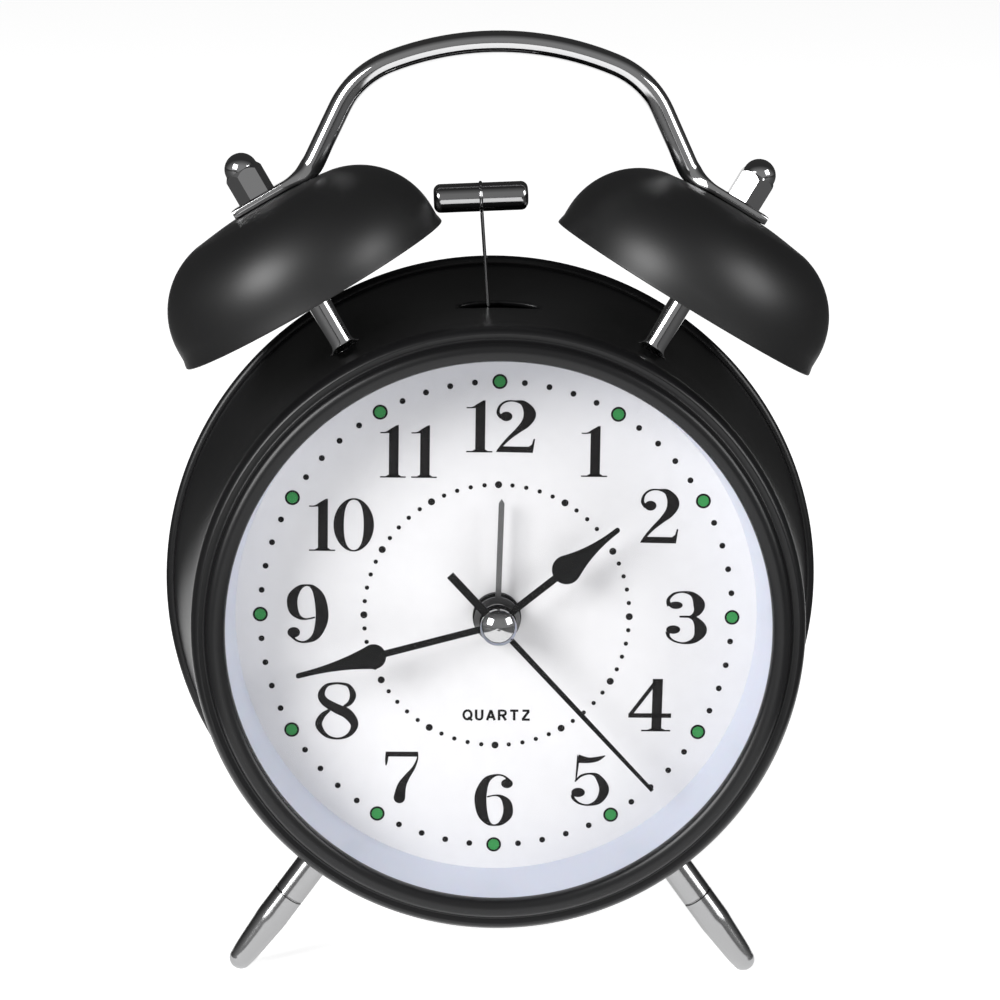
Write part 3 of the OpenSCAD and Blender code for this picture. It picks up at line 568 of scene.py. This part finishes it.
def make_dial_ring():
    profile = [(45.6, -13.0), (48.3, -13.0), (48.3, -11.8), (46.5, -11.4), (46.0, -0.01), (DIAL_R, -0.01),
               (DIAL_R + 0.03, -0.6), (DIAL_R + 0.3, -3), (45.45, -12.4)]
    ring = lathe("rehaut", profile, MATS["ring"], LATHE_STEPS, True, ALONG_DEPTH)
    on_stand(ring)
    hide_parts("dial_ring")


# ---- bells, posts and feet ----
def bell_profile():
    centre = (BELL_WALL_R - BELL_ARC_R, BELL_ARC_V)
    outer_r, inner_r = CROWN_R
    shoulder = arc(centre, BELL_ARC_R, 0, BELL_ARC_END, 24)
    crown_points = [shoulder[-1], (outer_r, BELL_H - CROWN_DROP), (inner_r, BELL_H), (STUD_R, BELL_H)]
    crown = smooth_through(crown_points, 4)[1:]
    lip = [(BELL_LIP_R - 0.1, 0.0), (BELL_LIP_R, 0.12), (BELL_LIP_R - 0.03, 0.5), (BELL_WALL_R, 1.5)]
    inner_arc = arc(centre, BELL_ARC_R - BELL_T, BELL_ARC_END, 0, 24)
    inner_top = [(STUD_R, BELL_H - BELL_T), (inner_r, BELL_H - BELL_T),
                 (outer_r, BELL_H - CROWN_DROP - BELL_T)]
    inner_lip = [(BELL_WALL_R - BELL_T, 1.5), (BELL_LIP_R - BELL_T, 0.12), (BELL_LIP_R - BELL_T + 0.1, 0.0)]
    return lip + shoulder + crown + inner_top + inner_arc + inner_lip


def make_bell(side, name):
    place = radial(side, BELL_ANGLE, BELL_Y, BELL_MOUTH)
    bell = lathe(name + "_cup", bell_profile(), MATS["bell"], 192, True, place, 40)
    on_stand(bell)
    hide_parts(name)


def make_posts():
    """Chromed pillars with a flared foot, standing on the case."""
    top = BELL_MOUTH + BELL_H - BELL_T - POST_FOOT
    foot = smooth_through([(3.15, POST_SINK), (3.2, 0.0), (3.1, 0.28), (2.75, 0.42), (2.3, 0.62),
                           (2.06, 1.1), (POST_R, 1.8)])
    stud = [(POST_R, top), (STUD_R, top), (STUD_R, top + STUD_H), (0, top + STUD_H)]
    profile = [(0, POST_SINK)] + foot + stud
    both = []
    for side in (-1, 1):
        place = radial(side, BELL_ANGLE, BELL_Y, POST_FOOT)
        both.append(lathe("post", profile, MATS["chrome"], 64, False, place))
    posts = join("pillars", both)
    on_stand(posts)
    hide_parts("bell_posts")


def join(name, parts):
    bm = bmesh.new()
    mat = parts[0].data.materials[0]
    for part in parts:
        bm.from_mesh(part.data)
        bpy.data.objects.remove(part)
    return new_piece(name, bm, mat)


def make_foot(side, name):
    place = radial(side, 180 - FOOT_ANGLE, FOOT_Y)
    tube = [(0, FOOT_ROOT), (FOOT_R, FOOT_ROOT), (FOOT_R, FOOT_JOINT - FOOT_EDGE),
            (FOOT_R - FOOT_EDGE, FOOT_JOINT), (0, FOOT_JOINT)]
    upper = lathe(name + "_tube", tube, MATS["foot_chrome"], 64, False, place)
    on_stand(upper)
    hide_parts(name)
    neck = FOOT_JOINT + FOOT_GAP
    body = smooth_through([(FOOT_R, neck + FOOT_EDGE), (FOOT_R, neck + 3), (FOOT_R, neck + 5.2),
                           (FOOT_R - 0.14, neck + 7.2), (FOOT_TIP_R + 0.24, FOOT_REACH - 1.9),
                           (FOOT_TIP_R, FOOT_REACH)])
    end = arc((0, FOOT_REACH), FOOT_TIP_R, 0, 90, 10)[1:-1]
    groove_r = FOOT_R - FOOT_GROOVE
    profile = [(0, FOOT_JOINT), (groove_r, FOOT_JOINT), (groove_r, neck), (FOOT_R - FOOT_EDGE, neck)]
    profile += body + end + [(0, FOOT_REACH + FOOT_TIP_R)]
    tip = lathe(name + "_end", profile, MATS["foot_chrome"], 64, False, place)
    on_stand(tip)
    rest_on_table(tip)
    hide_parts(name + "_tip")


def rest_on_table(piece):
    """The small worn flat where a foot meets the table."""
    for vertex in piece.data.vertices:
        vertex.co.z = max(vertex.co.z, 0.0)


# ---- handle ----
def tab_level():
    return BELL_MOUTH + BELL_H + TAB_T / 2


def in_plane(angle, length):
    """Point at an angle from upright, in the plane of the handle."""
    a = math.radians(angle)
    return Vector((length * math.sin(a), length * math.cos(a)))


def handle_path():
    """Centre line of the right half, from the top's middle to the end of the tab, as (x, z) points."""
    centre = Vector((0, HANDLE_TOP - TOP_ARC_R))
    top = [centre + in_plane(TOP_ARC_A * i / 12, TOP_ARC_R) for i in range(13)]
    shoulder_at = top[-1] - in_plane(TOP_ARC_A, SHOULDER_R)
    sweep_a = 90 - LEG_A - TOP_ARC_A
    shoulder = [shoulder_at + in_plane(TOP_ARC_A + sweep_a * i / 14, SHOULDER_R) for i in range(1, 15)]
    leg_dir = Vector((math.sin(math.radians(LEG_A)), -math.cos(math.radians(LEG_A))))
    tab_dir = Vector((math.cos(math.radians(BELL_ANGLE)), -math.sin(math.radians(BELL_ANGLE))))
    tab_mid = in_plane(BELL_ANGLE, tab_level())
    leg_from = shoulder[-1]
    gap = tab_mid - leg_from
    length = (gap.x * tab_dir.y - gap.y * tab_dir.x) / (leg_dir.x * tab_dir.y - leg_dir.y * tab_dir.x)
    corner = leg_from + leg_dir * length
    turn = leg_dir.angle(tab_dir)
    back = BEND_R * math.tan(turn / 2)
    bend_from = corner - leg_dir * back
    normal = Vector((-leg_dir.y, leg_dir.x))
    bend_at = bend_from + normal * BEND_R
    bend = []
    for i in range(1, 11):
        a = turn * i / 10
        bend.append(bend_at - normal * BEND_R * math.cos(a) + leg_dir * BEND_R * math.sin(a))
    leg = [leg_from.lerp(bend_from, i / 6) for i in range(1, 7)]
    tab_end = tab_mid + tab_dir * TAB_END
    tab = [bend[-1].lerp(tab_end, i / 16) for i in range(1, 17)]
    return top + shoulder + leg + bend + tab


def ease(t):
    t = min(1.0, max(0.0, t))
    return t * t * (3 - 2 * t)


def make_handle():
    half = handle_path()
    path = [Vector((-p.x, p.y)) for p in reversed(half[1:])] + half
    lengths = [0.0]
    for a, b in zip(half, half[1:]):
        lengths.append(lengths[-1] + (b - a).length)
    total = lengths[-1]
    distance = list(reversed(lengths[1:])) + lengths
    stations = []
    for i, point in enumerate(path):
        before = path[max(0, i - 1)]
        after = path[min(len(path) - 1, i + 1)]
        tangent = (after - before).normalized()
        to_end = total - distance[i]
        flat = ease((FLAT_FROM - to_end) / FLAT_OVER)
        nip = ease((END_ROUND - to_end) / END_ROUND) * END_NIP
        wide = ROD_R + (TAB_W / 2 - ROD_R) * flat - nip
        thick = ROD_R + (TAB_T / 2 - ROD_R) * flat - nip
        through = Vector((-tangent.y, 0, tangent.x)) * thick
        centre = Vector((point.x, BELL_Y, point.y))
        stations.append((centre, Vector((0, wide, 0)), through, 2 + TAB_SQUARENESS * flat))
    handle = sweep("carry_handle", stations, MATS["chrome"])
    on_stand(handle)
    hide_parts("handle")


# ---- dial print ----
# A stroke is a list of (x, y, thickness) in units of the figure's height, drawn as a smooth ribbon
RING_STROKE = [(0.385 + 0.285 * math.sin(math.radians(a)), 0.5 + 0.494 * math.cos(math.radians(a)),
                0.03 + 0.165 * math.sin(math.radians(a)) ** 2) for a in range(0, 361, 15)]
SIX_STROKE = [(0.68, 0.87, 0.06), (0.56, 0.97, 0.035), (0.40, 0.985, 0.045), (0.22, 0.88, 0.14),
              (0.12, 0.64, 0.225), (0.115, 0.42, 0.23), (0.165, 0.21, 0.19), (0.27, 0.06, 0.09),
              (0.385, 0.015, 0.03), (0.52, 0.06, 0.09), (0.635, 0.20, 0.18), (0.655, 0.33, 0.19),
              (0.62, 0.46, 0.165), (0.52, 0.565, 0.075), (0.40, 0.595, 0.03), (0.24, 0.565, 0.03)]
FIGURES = {
    "0": {"width": 0.77, "strokes": [RING_STROKE]},
    "1": {"width": 0.5,
          "strokes": [[(0.0, 0.85, 0.024), (0.11, 0.853, 0.028), (0.22, 0.895, 0.07), (0.335, 0.985, 0.03)]],
          "shapes": [[(0.17, 0.02), (0.355, 0.02), (0.355, 1.0), (0.28, 0.95), (0.17, 0.86)],
                     [(0.0, 0.0), (0.495, 0.0), (0.495, 0.026), (0.41, 0.026), (0.355, 0.06), (0.17, 0.06),
                      (0.11, 0.026), (0.0, 0.026)]]},
    "2": {"width": 0.75, "balls": [(0.19, 0.69, 0.115, 0.09)],
          "strokes": [[(0.10, 0.665, 0.07), (0.035, 0.76, 0.065), (0.07, 0.89, 0.045), (0.19, 0.975, 0.035),
                       (0.36, 0.98, 0.035), (0.52, 0.93, 0.12), (0.63, 0.75, 0.235), (0.57, 0.58, 0.185),
                       (0.42, 0.43, 0.11), (0.25, 0.28, 0.07), (0.11, 0.13, 0.05), (0.02, 0.02, 0.03)]],
          "shapes": [[(0.0, 0.01), (0.70, 0.0), (0.74, 0.265), (0.71, 0.265), (0.68, 0.16), (0.62, 0.115),
                      (0.12, 0.12)]]},
    "3": {"width": 0.77, "balls": [(0.19, 0.735, 0.125, 0.07), (0.15, 0.275, 0.13, 0.08)],
          "strokes": [[(0.07, 0.72, 0.09), (0.05, 0.84, 0.065), (0.15, 0.95, 0.045), (0.32, 0.985, 0.035),
                       (0.50, 0.935, 0.10), (0.615, 0.76, 0.215), (0.58, 0.60, 0.14), (0.45, 0.52, 0.04),
                       (0.26, 0.52, 0.035)],
                      [(0.26, 0.52, 0.035), (0.42, 0.52, 0.04), (0.56, 0.46, 0.12), (0.655, 0.27, 0.235),
                       (0.56, 0.09, 0.12), (0.37, 0.02, 0.04), (0.18, 0.055, 0.035), (0.07, 0.14, 0.055),
                       (0.05, 0.24, 0.09)]]},
    "4": {"width": 0.82,
          "shapes": [[(0.0, 0.33), (0.092, 0.33), (0.602, 1.0), (0.51, 1.0)],
                     [(0.445, 0.02), (0.635, 0.02), (0.65, 1.0), (0.455, 1.0)],
                     [(0.0, 0.26), (0.82, 0.26), (0.82, 0.345), (0.0, 0.345)],
                     [(0.25, 0.0), (0.81, 0.0), (0.81, 0.03), (0.71, 0.03), (0.635, 0.06), (0.445, 0.06),
                      (0.37, 0.03), (0.25, 0.03)]]},
    "5": {"width": 0.73, "balls": [(0.145, 0.26, 0.13, 0.09)],
          "strokes": [[(0.08, 0.47, 0.03), (0.20, 0.585, 0.045), (0.38, 0.625, 0.04), (0.52, 0.56, 0.11),
                       (0.64, 0.33, 0.19), (0.55, 0.11, 0.13), (0.36, 0.02, 0.04), (0.18, 0.045, 0.04),
                       (0.06, 0.14, 0.06), (0.04, 0.22, 0.07)],
                      [(0.13, 0.915, 0.165), (0.33, 0.885, 0.11), (0.5, 0.91, 0.09), (0.65, 0.975, 0.02)]],
          "shapes": [[(0.085, 0.47), (0.12, 0.56), (0.16, 0.90), (0.115, 1.0)]]},
    "6": {"width": 0.76, "balls": [(0.625, 0.825, 0.115, 0.09)], "strokes": [SIX_STROKE]},
    "7": {"width": 0.66, "balls": [(0.29, 0.117, 0.115, 0.115)],
          "strokes": [[(0.04, 0.97, 0.06), (0.03, 0.85, 0.06), (0.02, 0.735, 0.025)],
                      [(0.645, 0.97, 0.02), (0.635, 0.85, 0.035), (0.56, 0.68, 0.065), (0.44, 0.52, 0.11),
                       (0.335, 0.34, 0.175), (0.29, 0.12, 0.228)]],
          "shapes": [[(0.01, 0.905), (0.64, 0.905), (0.655, 1.0), (0.01, 1.0)]]},
    "8": {"width": 0.76,
          "strokes": [[(0.38, 0.985, 0.035), (0.20, 0.945, 0.06), (0.105, 0.80, 0.12), (0.16, 0.665, 0.145),
                       (0.36, 0.545, 0.165), (0.56, 0.45, 0.18), (0.685, 0.27, 0.14), (0.60, 0.09, 0.075),
                       (0.40, 0.015, 0.035), (0.19, 0.07, 0.065), (0.06, 0.25, 0.12), (0.12, 0.41, 0.10),
                       (0.25, 0.515, 0.05)],
                      [(0.38, 0.985, 0.035), (0.57, 0.945, 0.06), (0.655, 0.79, 0.11), (0.61, 0.65, 0.085),
                       (0.50, 0.575, 0.05)]]},
}
# Each hour's figures, nudged right and up in mm off their ring, then widened and heightened
HOURS = {
    1: (0, 0.44, 1.0, 0.98), 2: (-0.56, 1.25, 0.98, 1.05), 3: (0, -0.12, 1.04, 1.03),
    4: (-1.54, 0.73, 1.0, 1.03), 5: (0.22, -0.69, 1.01, 1.02), 6: (0, 0, 0.98, 1.02),
    7: (0.22, -0.41, 0.97, 1.02), 8: (0.94, -0.59, 1.09, 1.12), 9: (0.12, 0.16, 1.04, 1.13),
    10: (1.53, -0.66, 1.0, 1.01), 11: (0.94, 0.16, 0.98, 1.01), 12: (0.31, 0.22, 1.0, 1.0),
}
# Extra space between the two figures of an hour, as a share of a figure's height
PAIR_GAP = {10: -0.04, 11: 0.1, 12: 0.06}
# Each letter's width and its strokes, in units of the letter's height
LETTERS = {
    "Q": (0.86, [[(0.43 + 0.36 * math.sin(math.radians(a)), 0.5 + 0.42 * math.cos(math.radians(a)), 0.16)
                  for a in range(0, 361, 20)], [(0.5, 0.28, 0.15), (0.86, -0.02, 0.15)]]),
    "U": (0.74, [[(0.09, 1, 0.17), (0.09, 0.45, 0.17), (0.14, 0.17, 0.16), (0.37, 0.07, 0.15),
                  (0.6, 0.17, 0.16), (0.65, 0.45, 0.17), (0.65, 1, 0.17)]]),
    "A": (0.86, [[(0.08, 0, 0.17), (0.43, 0.96, 0.17)], [(0.43, 0.96, 0.17), (0.78, 0, 0.17)],
                 [(0.2, 0.3, 0.15), (0.66, 0.3, 0.15)]]),
    "R": (0.82, [[(0.09, 0, 0.17), (0.09, 1, 0.17)],
                 [(0.09, 0.92, 0.15), (0.45, 0.92, 0.15), (0.66, 0.83, 0.16), (0.68, 0.6, 0.16),
                  (0.45, 0.48, 0.15), (0.09, 0.48, 0.15)],
                 [(0.42, 0.46, 0.17), (0.72, 0, 0.17)]]),
    "T": (0.76, [[(0.0, 0.92, 0.16), (0.76, 0.92, 0.16)], [(0.38, 0, 0.17), (0.38, 0.92, 0.17)]]),
    "Z": (0.76, [[(0.06, 0.92, 0.16), (0.7, 0.92, 0.16)], [(0.66, 0.88, 0.17), (0.1, 0.12, 0.17)],
                 [(0.02, 0.08, 0.16), (0.74, 0.08, 0.16)]]),
}
LABEL = "QUARTZ"
LABEL_H = 1.85
LABEL_X = 0.22
LABEL_Z = -17.25
LABEL_WEIGHT = 1.35
LABEL_STEP = 1.99


def ribbon(bm, stroke, to_dial, per_span=8):
    """A stroke as a strip of faces, with its ends cut square."""
    line = smooth_through(stroke, per_span)
    left = []
    right = []
    for i, (x, y, w) in enumerate(line):
        ax, ay, _ = line[max(0, i - 1)]
        bx, by, _ = line[min(len(line) - 1, i + 1)]
        size = math.hypot(bx - ax, by - ay)
        nx = (ay - by) / size * w / 2
        ny = (bx - ax) / size * w / 2
        left.append(bm.verts.new(to_dial(x + nx, y + ny)))
        right.append(bm.verts.new(to_dial(x - nx, y - ny)))
    for i in range(len(line) - 1):
        bm.faces.new((left[i], left[i + 1], right[i + 1], right[i]))


def shape(bm, outline, to_dial):
    bm.faces.new([bm.verts.new(to_dial(x, y)) for x, y in outline])


def ellipse(cx, cy, rx, ry, count=32):
    turns = [2 * math.pi * i / count for i in range(count)]
    return [(cx + rx * math.cos(a), cy + ry * math.sin(a)) for a in turns]


def draw_figure(bm, digit, corner, width, height):
    def to_dial(x, y):
        return (corner[0] + x * width, PRINT_Y, corner[1] + y * height)

    figure = FIGURES["6" if digit == "9" else digit]

    def turned(x, y):
        return to_dial(figure["width"] - x, 1 - y)

    place = turned if digit == "9" else to_dial
    for stroke in figure.get("strokes", []):
        ribbon(bm, stroke, place)
    for outline in figure.get("shapes", []):
        shape(bm, outline, place)
    for ball in figure.get("balls", []):
        shape(bm, ellipse(*ball), place)


def figure_width(digit):
    return FIGURES["6" if digit == "9" else digit]["width"]


def make_numerals():
    bm = bmesh.new()
    for hour, (right, up, widen, heighten) in HOURS.items():
        angle = math.radians(30 * hour)
        text = str(hour)
        gap = PAIR_GAP.get(hour, 0)
        width = NUMERAL_H * widen
        height = NUMERAL_H * heighten
        total = sum(figure_width(d) for d in text) + gap * (len(text) - 1)
        x = NUMERAL_RING_R * math.sin(angle) + right - total * width / 2
        z = NUMERAL_RING_R * math.cos(angle) + up - height / 2
        for digit in text:
            draw_figure(bm, digit, (x, z), width, height)
            x += (figure_width(digit) + gap) * width
    print_piece("numerals", bm, "ink")


def make_label():
    bm = bmesh.new()
    for i, letter in enumerate(LABEL):
        width, strokes = LETTERS[letter]
        left = LABEL_X + (i - (len(LABEL) - 1) / 2) * LABEL_STEP - width * LABEL_H / 2

        def to_dial(x, y, left=left):
            return (left + x * LABEL_H, PRINT_Y, LABEL_Z - LABEL_H / 2 + y * LABEL_H)

        for stroke in strokes:
            ribbon(bm, [(x, y, w * LABEL_WEIGHT) for x, y, w in stroke], to_dial, 4)
    print_piece("dial_label", bm, "ink")


def dots(name, spots, mat, lift):
    bm = bmesh.new()
    for x, z, r in spots:
        bm.faces.new([bm.verts.new((px, PRINT_Y - lift, pz)) for px, pz in ellipse(x, z, r, r)])
    print_piece(name, bm, mat)


def print_piece(name, bm, mat):
    piece = new_piece(name, bm, MATS[mat])
    on_stand(piece)


def ring_spot(radius, minute, size):
    a = math.radians(6 * minute)
    return (radius * math.sin(a), radius * math.cos(a), size)


def make_dots():
    hours = range(0, 60, 5)
    minutes = [m for m in range(60) if m % 5]
    spots = [ring_spot(MINUTE_RING_R, m, MINUTE_DOT_R) for m in minutes]
    spots += [ring_spot(MINUTE_RING_R, m, HOUR_DOT_R) for m in hours]
    spots += [ring_spot(INNER_RING_R, m, INNER_DOT_R) for m in minutes]
    spots += [ring_spot(INNER_RING_R, m, INNER_HOUR_DOT_R) for m in hours]
    dots("minute_dots", spots, "ink", 0)
    dots("hour_dots", [ring_spot(MINUTE_RING_R, m, GREEN_DOT_R) for m in hours], "green", GREEN_LIFT)


# ---- stage ----
def area_light(name, at, towards, size, power):
    data = bpy.data.lights.new(name, "AREA")
    data.shape = "RECTANGLE"
    data.size = size[0]
    data.size_y = size[1]
    data.energy = power
    light = bpy.data.objects.new(name, data)
    light.location = at
    light.rotation_euler = (Vector(towards) - Vector(at)).to_track_quat("-Z", "Y").to_euler()
    bpy.context.collection.objects.link(light)


def maths(mat, operation, first, second):
    """A maths node; each entry is a number or a (node, output) pair."""
    made = node(mat, "ShaderNodeMath")
    made.operation = operation
    for i, entry in enumerate((first, second)):
        if isinstance(entry, tuple):
            wire(mat, entry[0], entry[1], made, i)
        else:
            made.inputs[i].default_value = entry
    return (made, "Value")


def fade_beside_view(mat, socket, inside, outside):
    """Takes a floor socket from one value in the camera's view to another beside it."""
    split = node(mat, "ShaderNodeSeparateXYZ")
    wire(mat, position(mat), "Position", split, "Vector")
    middle = maths(mat, "MULTIPLY", (split, "Y"), VIEW_SLANT)
    from_middle = maths(mat, "ABSOLUTE", maths(mat, "SUBTRACT", (split, "X"), middle), 0)
    spread = maths(mat, "MULTIPLY", (split, "Y"), VIEW_SPREAD)
    widened = maths(mat, "ADD", spread, VIEW_HALF_WIDTH)
    half_width = maths(mat, "MAXIMUM", widened, VIEW_HALF_WIDTH)
    share = maths(mat, "DIVIDE", from_middle, half_width)
    fade = node(mat, "ShaderNodeMapRange", From_Min=FADE_FROM, From_Max=FADE_TO, To_Min=inside,
                To_Max=outside)
    fade.interpolation_type = "SMOOTHSTEP"
    wire(mat, *share, fade, "Value")
    wire(mat, fade, "Result", shader_of(mat), socket)


def make_floor():
    """White where the camera looks and darker beside that, so that the clock's sides reflect a dark room."""
    bm = bmesh.new()
    bmesh.ops.create_grid(bm, x_segments=1, y_segments=1, size=FLOOR_SIZE)
    mat = material("pale_floor", (FLOOR_WHITE,) * 3, 0.8, Emission_Color=(1, 1, 1, 1))
    fade_beside_view(mat, "Base Color", FLOOR_WHITE, FLOOR_DARK)
    fade_beside_view(mat, "Emission Strength", FLOOR_GLOW, FLOOR_DIM)
    floor = new_piece("floor", bm, mat)


def make_world():
    world = bpy.data.worlds.new("studio")
    world.use_nodes = True
    tree = world.node_tree
    background = tree.nodes["Background"]
    coords = tree.nodes.new("ShaderNodeTexCoord")
    along = tree.nodes.new("ShaderNodeVectorMath")
    along.operation = "DOT_PRODUCT"
    along.inputs[1].default_value = TOWARDS_DARK
    fade = tree.nodes.new("ShaderNodeMapRange")
    fade.inputs["From Min"].default_value = DARK_FROM
    fade.inputs["From Max"].default_value = DARK_TO
    fade.inputs["To Min"].default_value = FRONT_LIGHT
    fade.inputs["To Max"].default_value = BACK_LIGHT
    tree.links.new(coords.outputs["Generated"], along.inputs[0])
    tree.links.new(along.outputs["Value"], fade.inputs["Value"])
    tree.links.new(fade.outputs["Result"], background.inputs["Color"])
    background.inputs["Strength"].default_value = 1.0
    bpy.context.scene.world = world


def make_lights():
    area_light("left_softbox", LEFT_LIGHT_AT, LIGHT_AIM, SOFTBOX, LEFT_LIGHT_POWER)
    area_light("right_softbox", RIGHT_LIGHT_AT, LIGHT_AIM, SOFTBOX, RIGHT_LIGHT_POWER)


def make_camera():
    data = bpy.data.cameras.new("camera")
    data.lens = CAMERA_LENS
    data.sensor_width = SENSOR_WIDTH
    data.clip_start = 0.01
    data.clip_end = 100
    camera = bpy.data.objects.new("camera", data)
    bpy.context.collection.objects.link(camera)
    look = Matrix.Rotation(math.radians(-CAMERA_YAW), 4, "Z")
    look = look @ Matrix.Rotation(math.radians(90 - CAMERA_PITCH), 4, "X")
    look = look @ Matrix.Rotation(math.radians(CAMERA_ROLL), 4, "Z")
    at = STAND @ Vector(CAMERA_AT)
    turn = STAND.to_3x3().normalized().to_4x4()
    camera.matrix_world = Matrix.Translation(at) @ turn @ look
    bpy.context.scene.camera = camera


make_camera()
make_world()
make_floor()
make_lights()
paint_nodes()
make_case()
make_bezel()
make_dial_ring()
make_bell(-1, "left_bell")
make_bell(1, "right_bell")
make_posts()
make_foot(-1, "left_foot")
make_foot(1, "right_foot")
make_handle()
make_numerals()
make_label()
make_dots()
for moulded_node in MOULDED_NODES:
    soften_edges(moulded_node, MOULDED_EDGE)
for stamped_node in STAMPED_NODES:
    soften_edges(stamped_node, STAMPED_EDGE)
bpy.context.scene.view_settings.view_transform = "Standard"
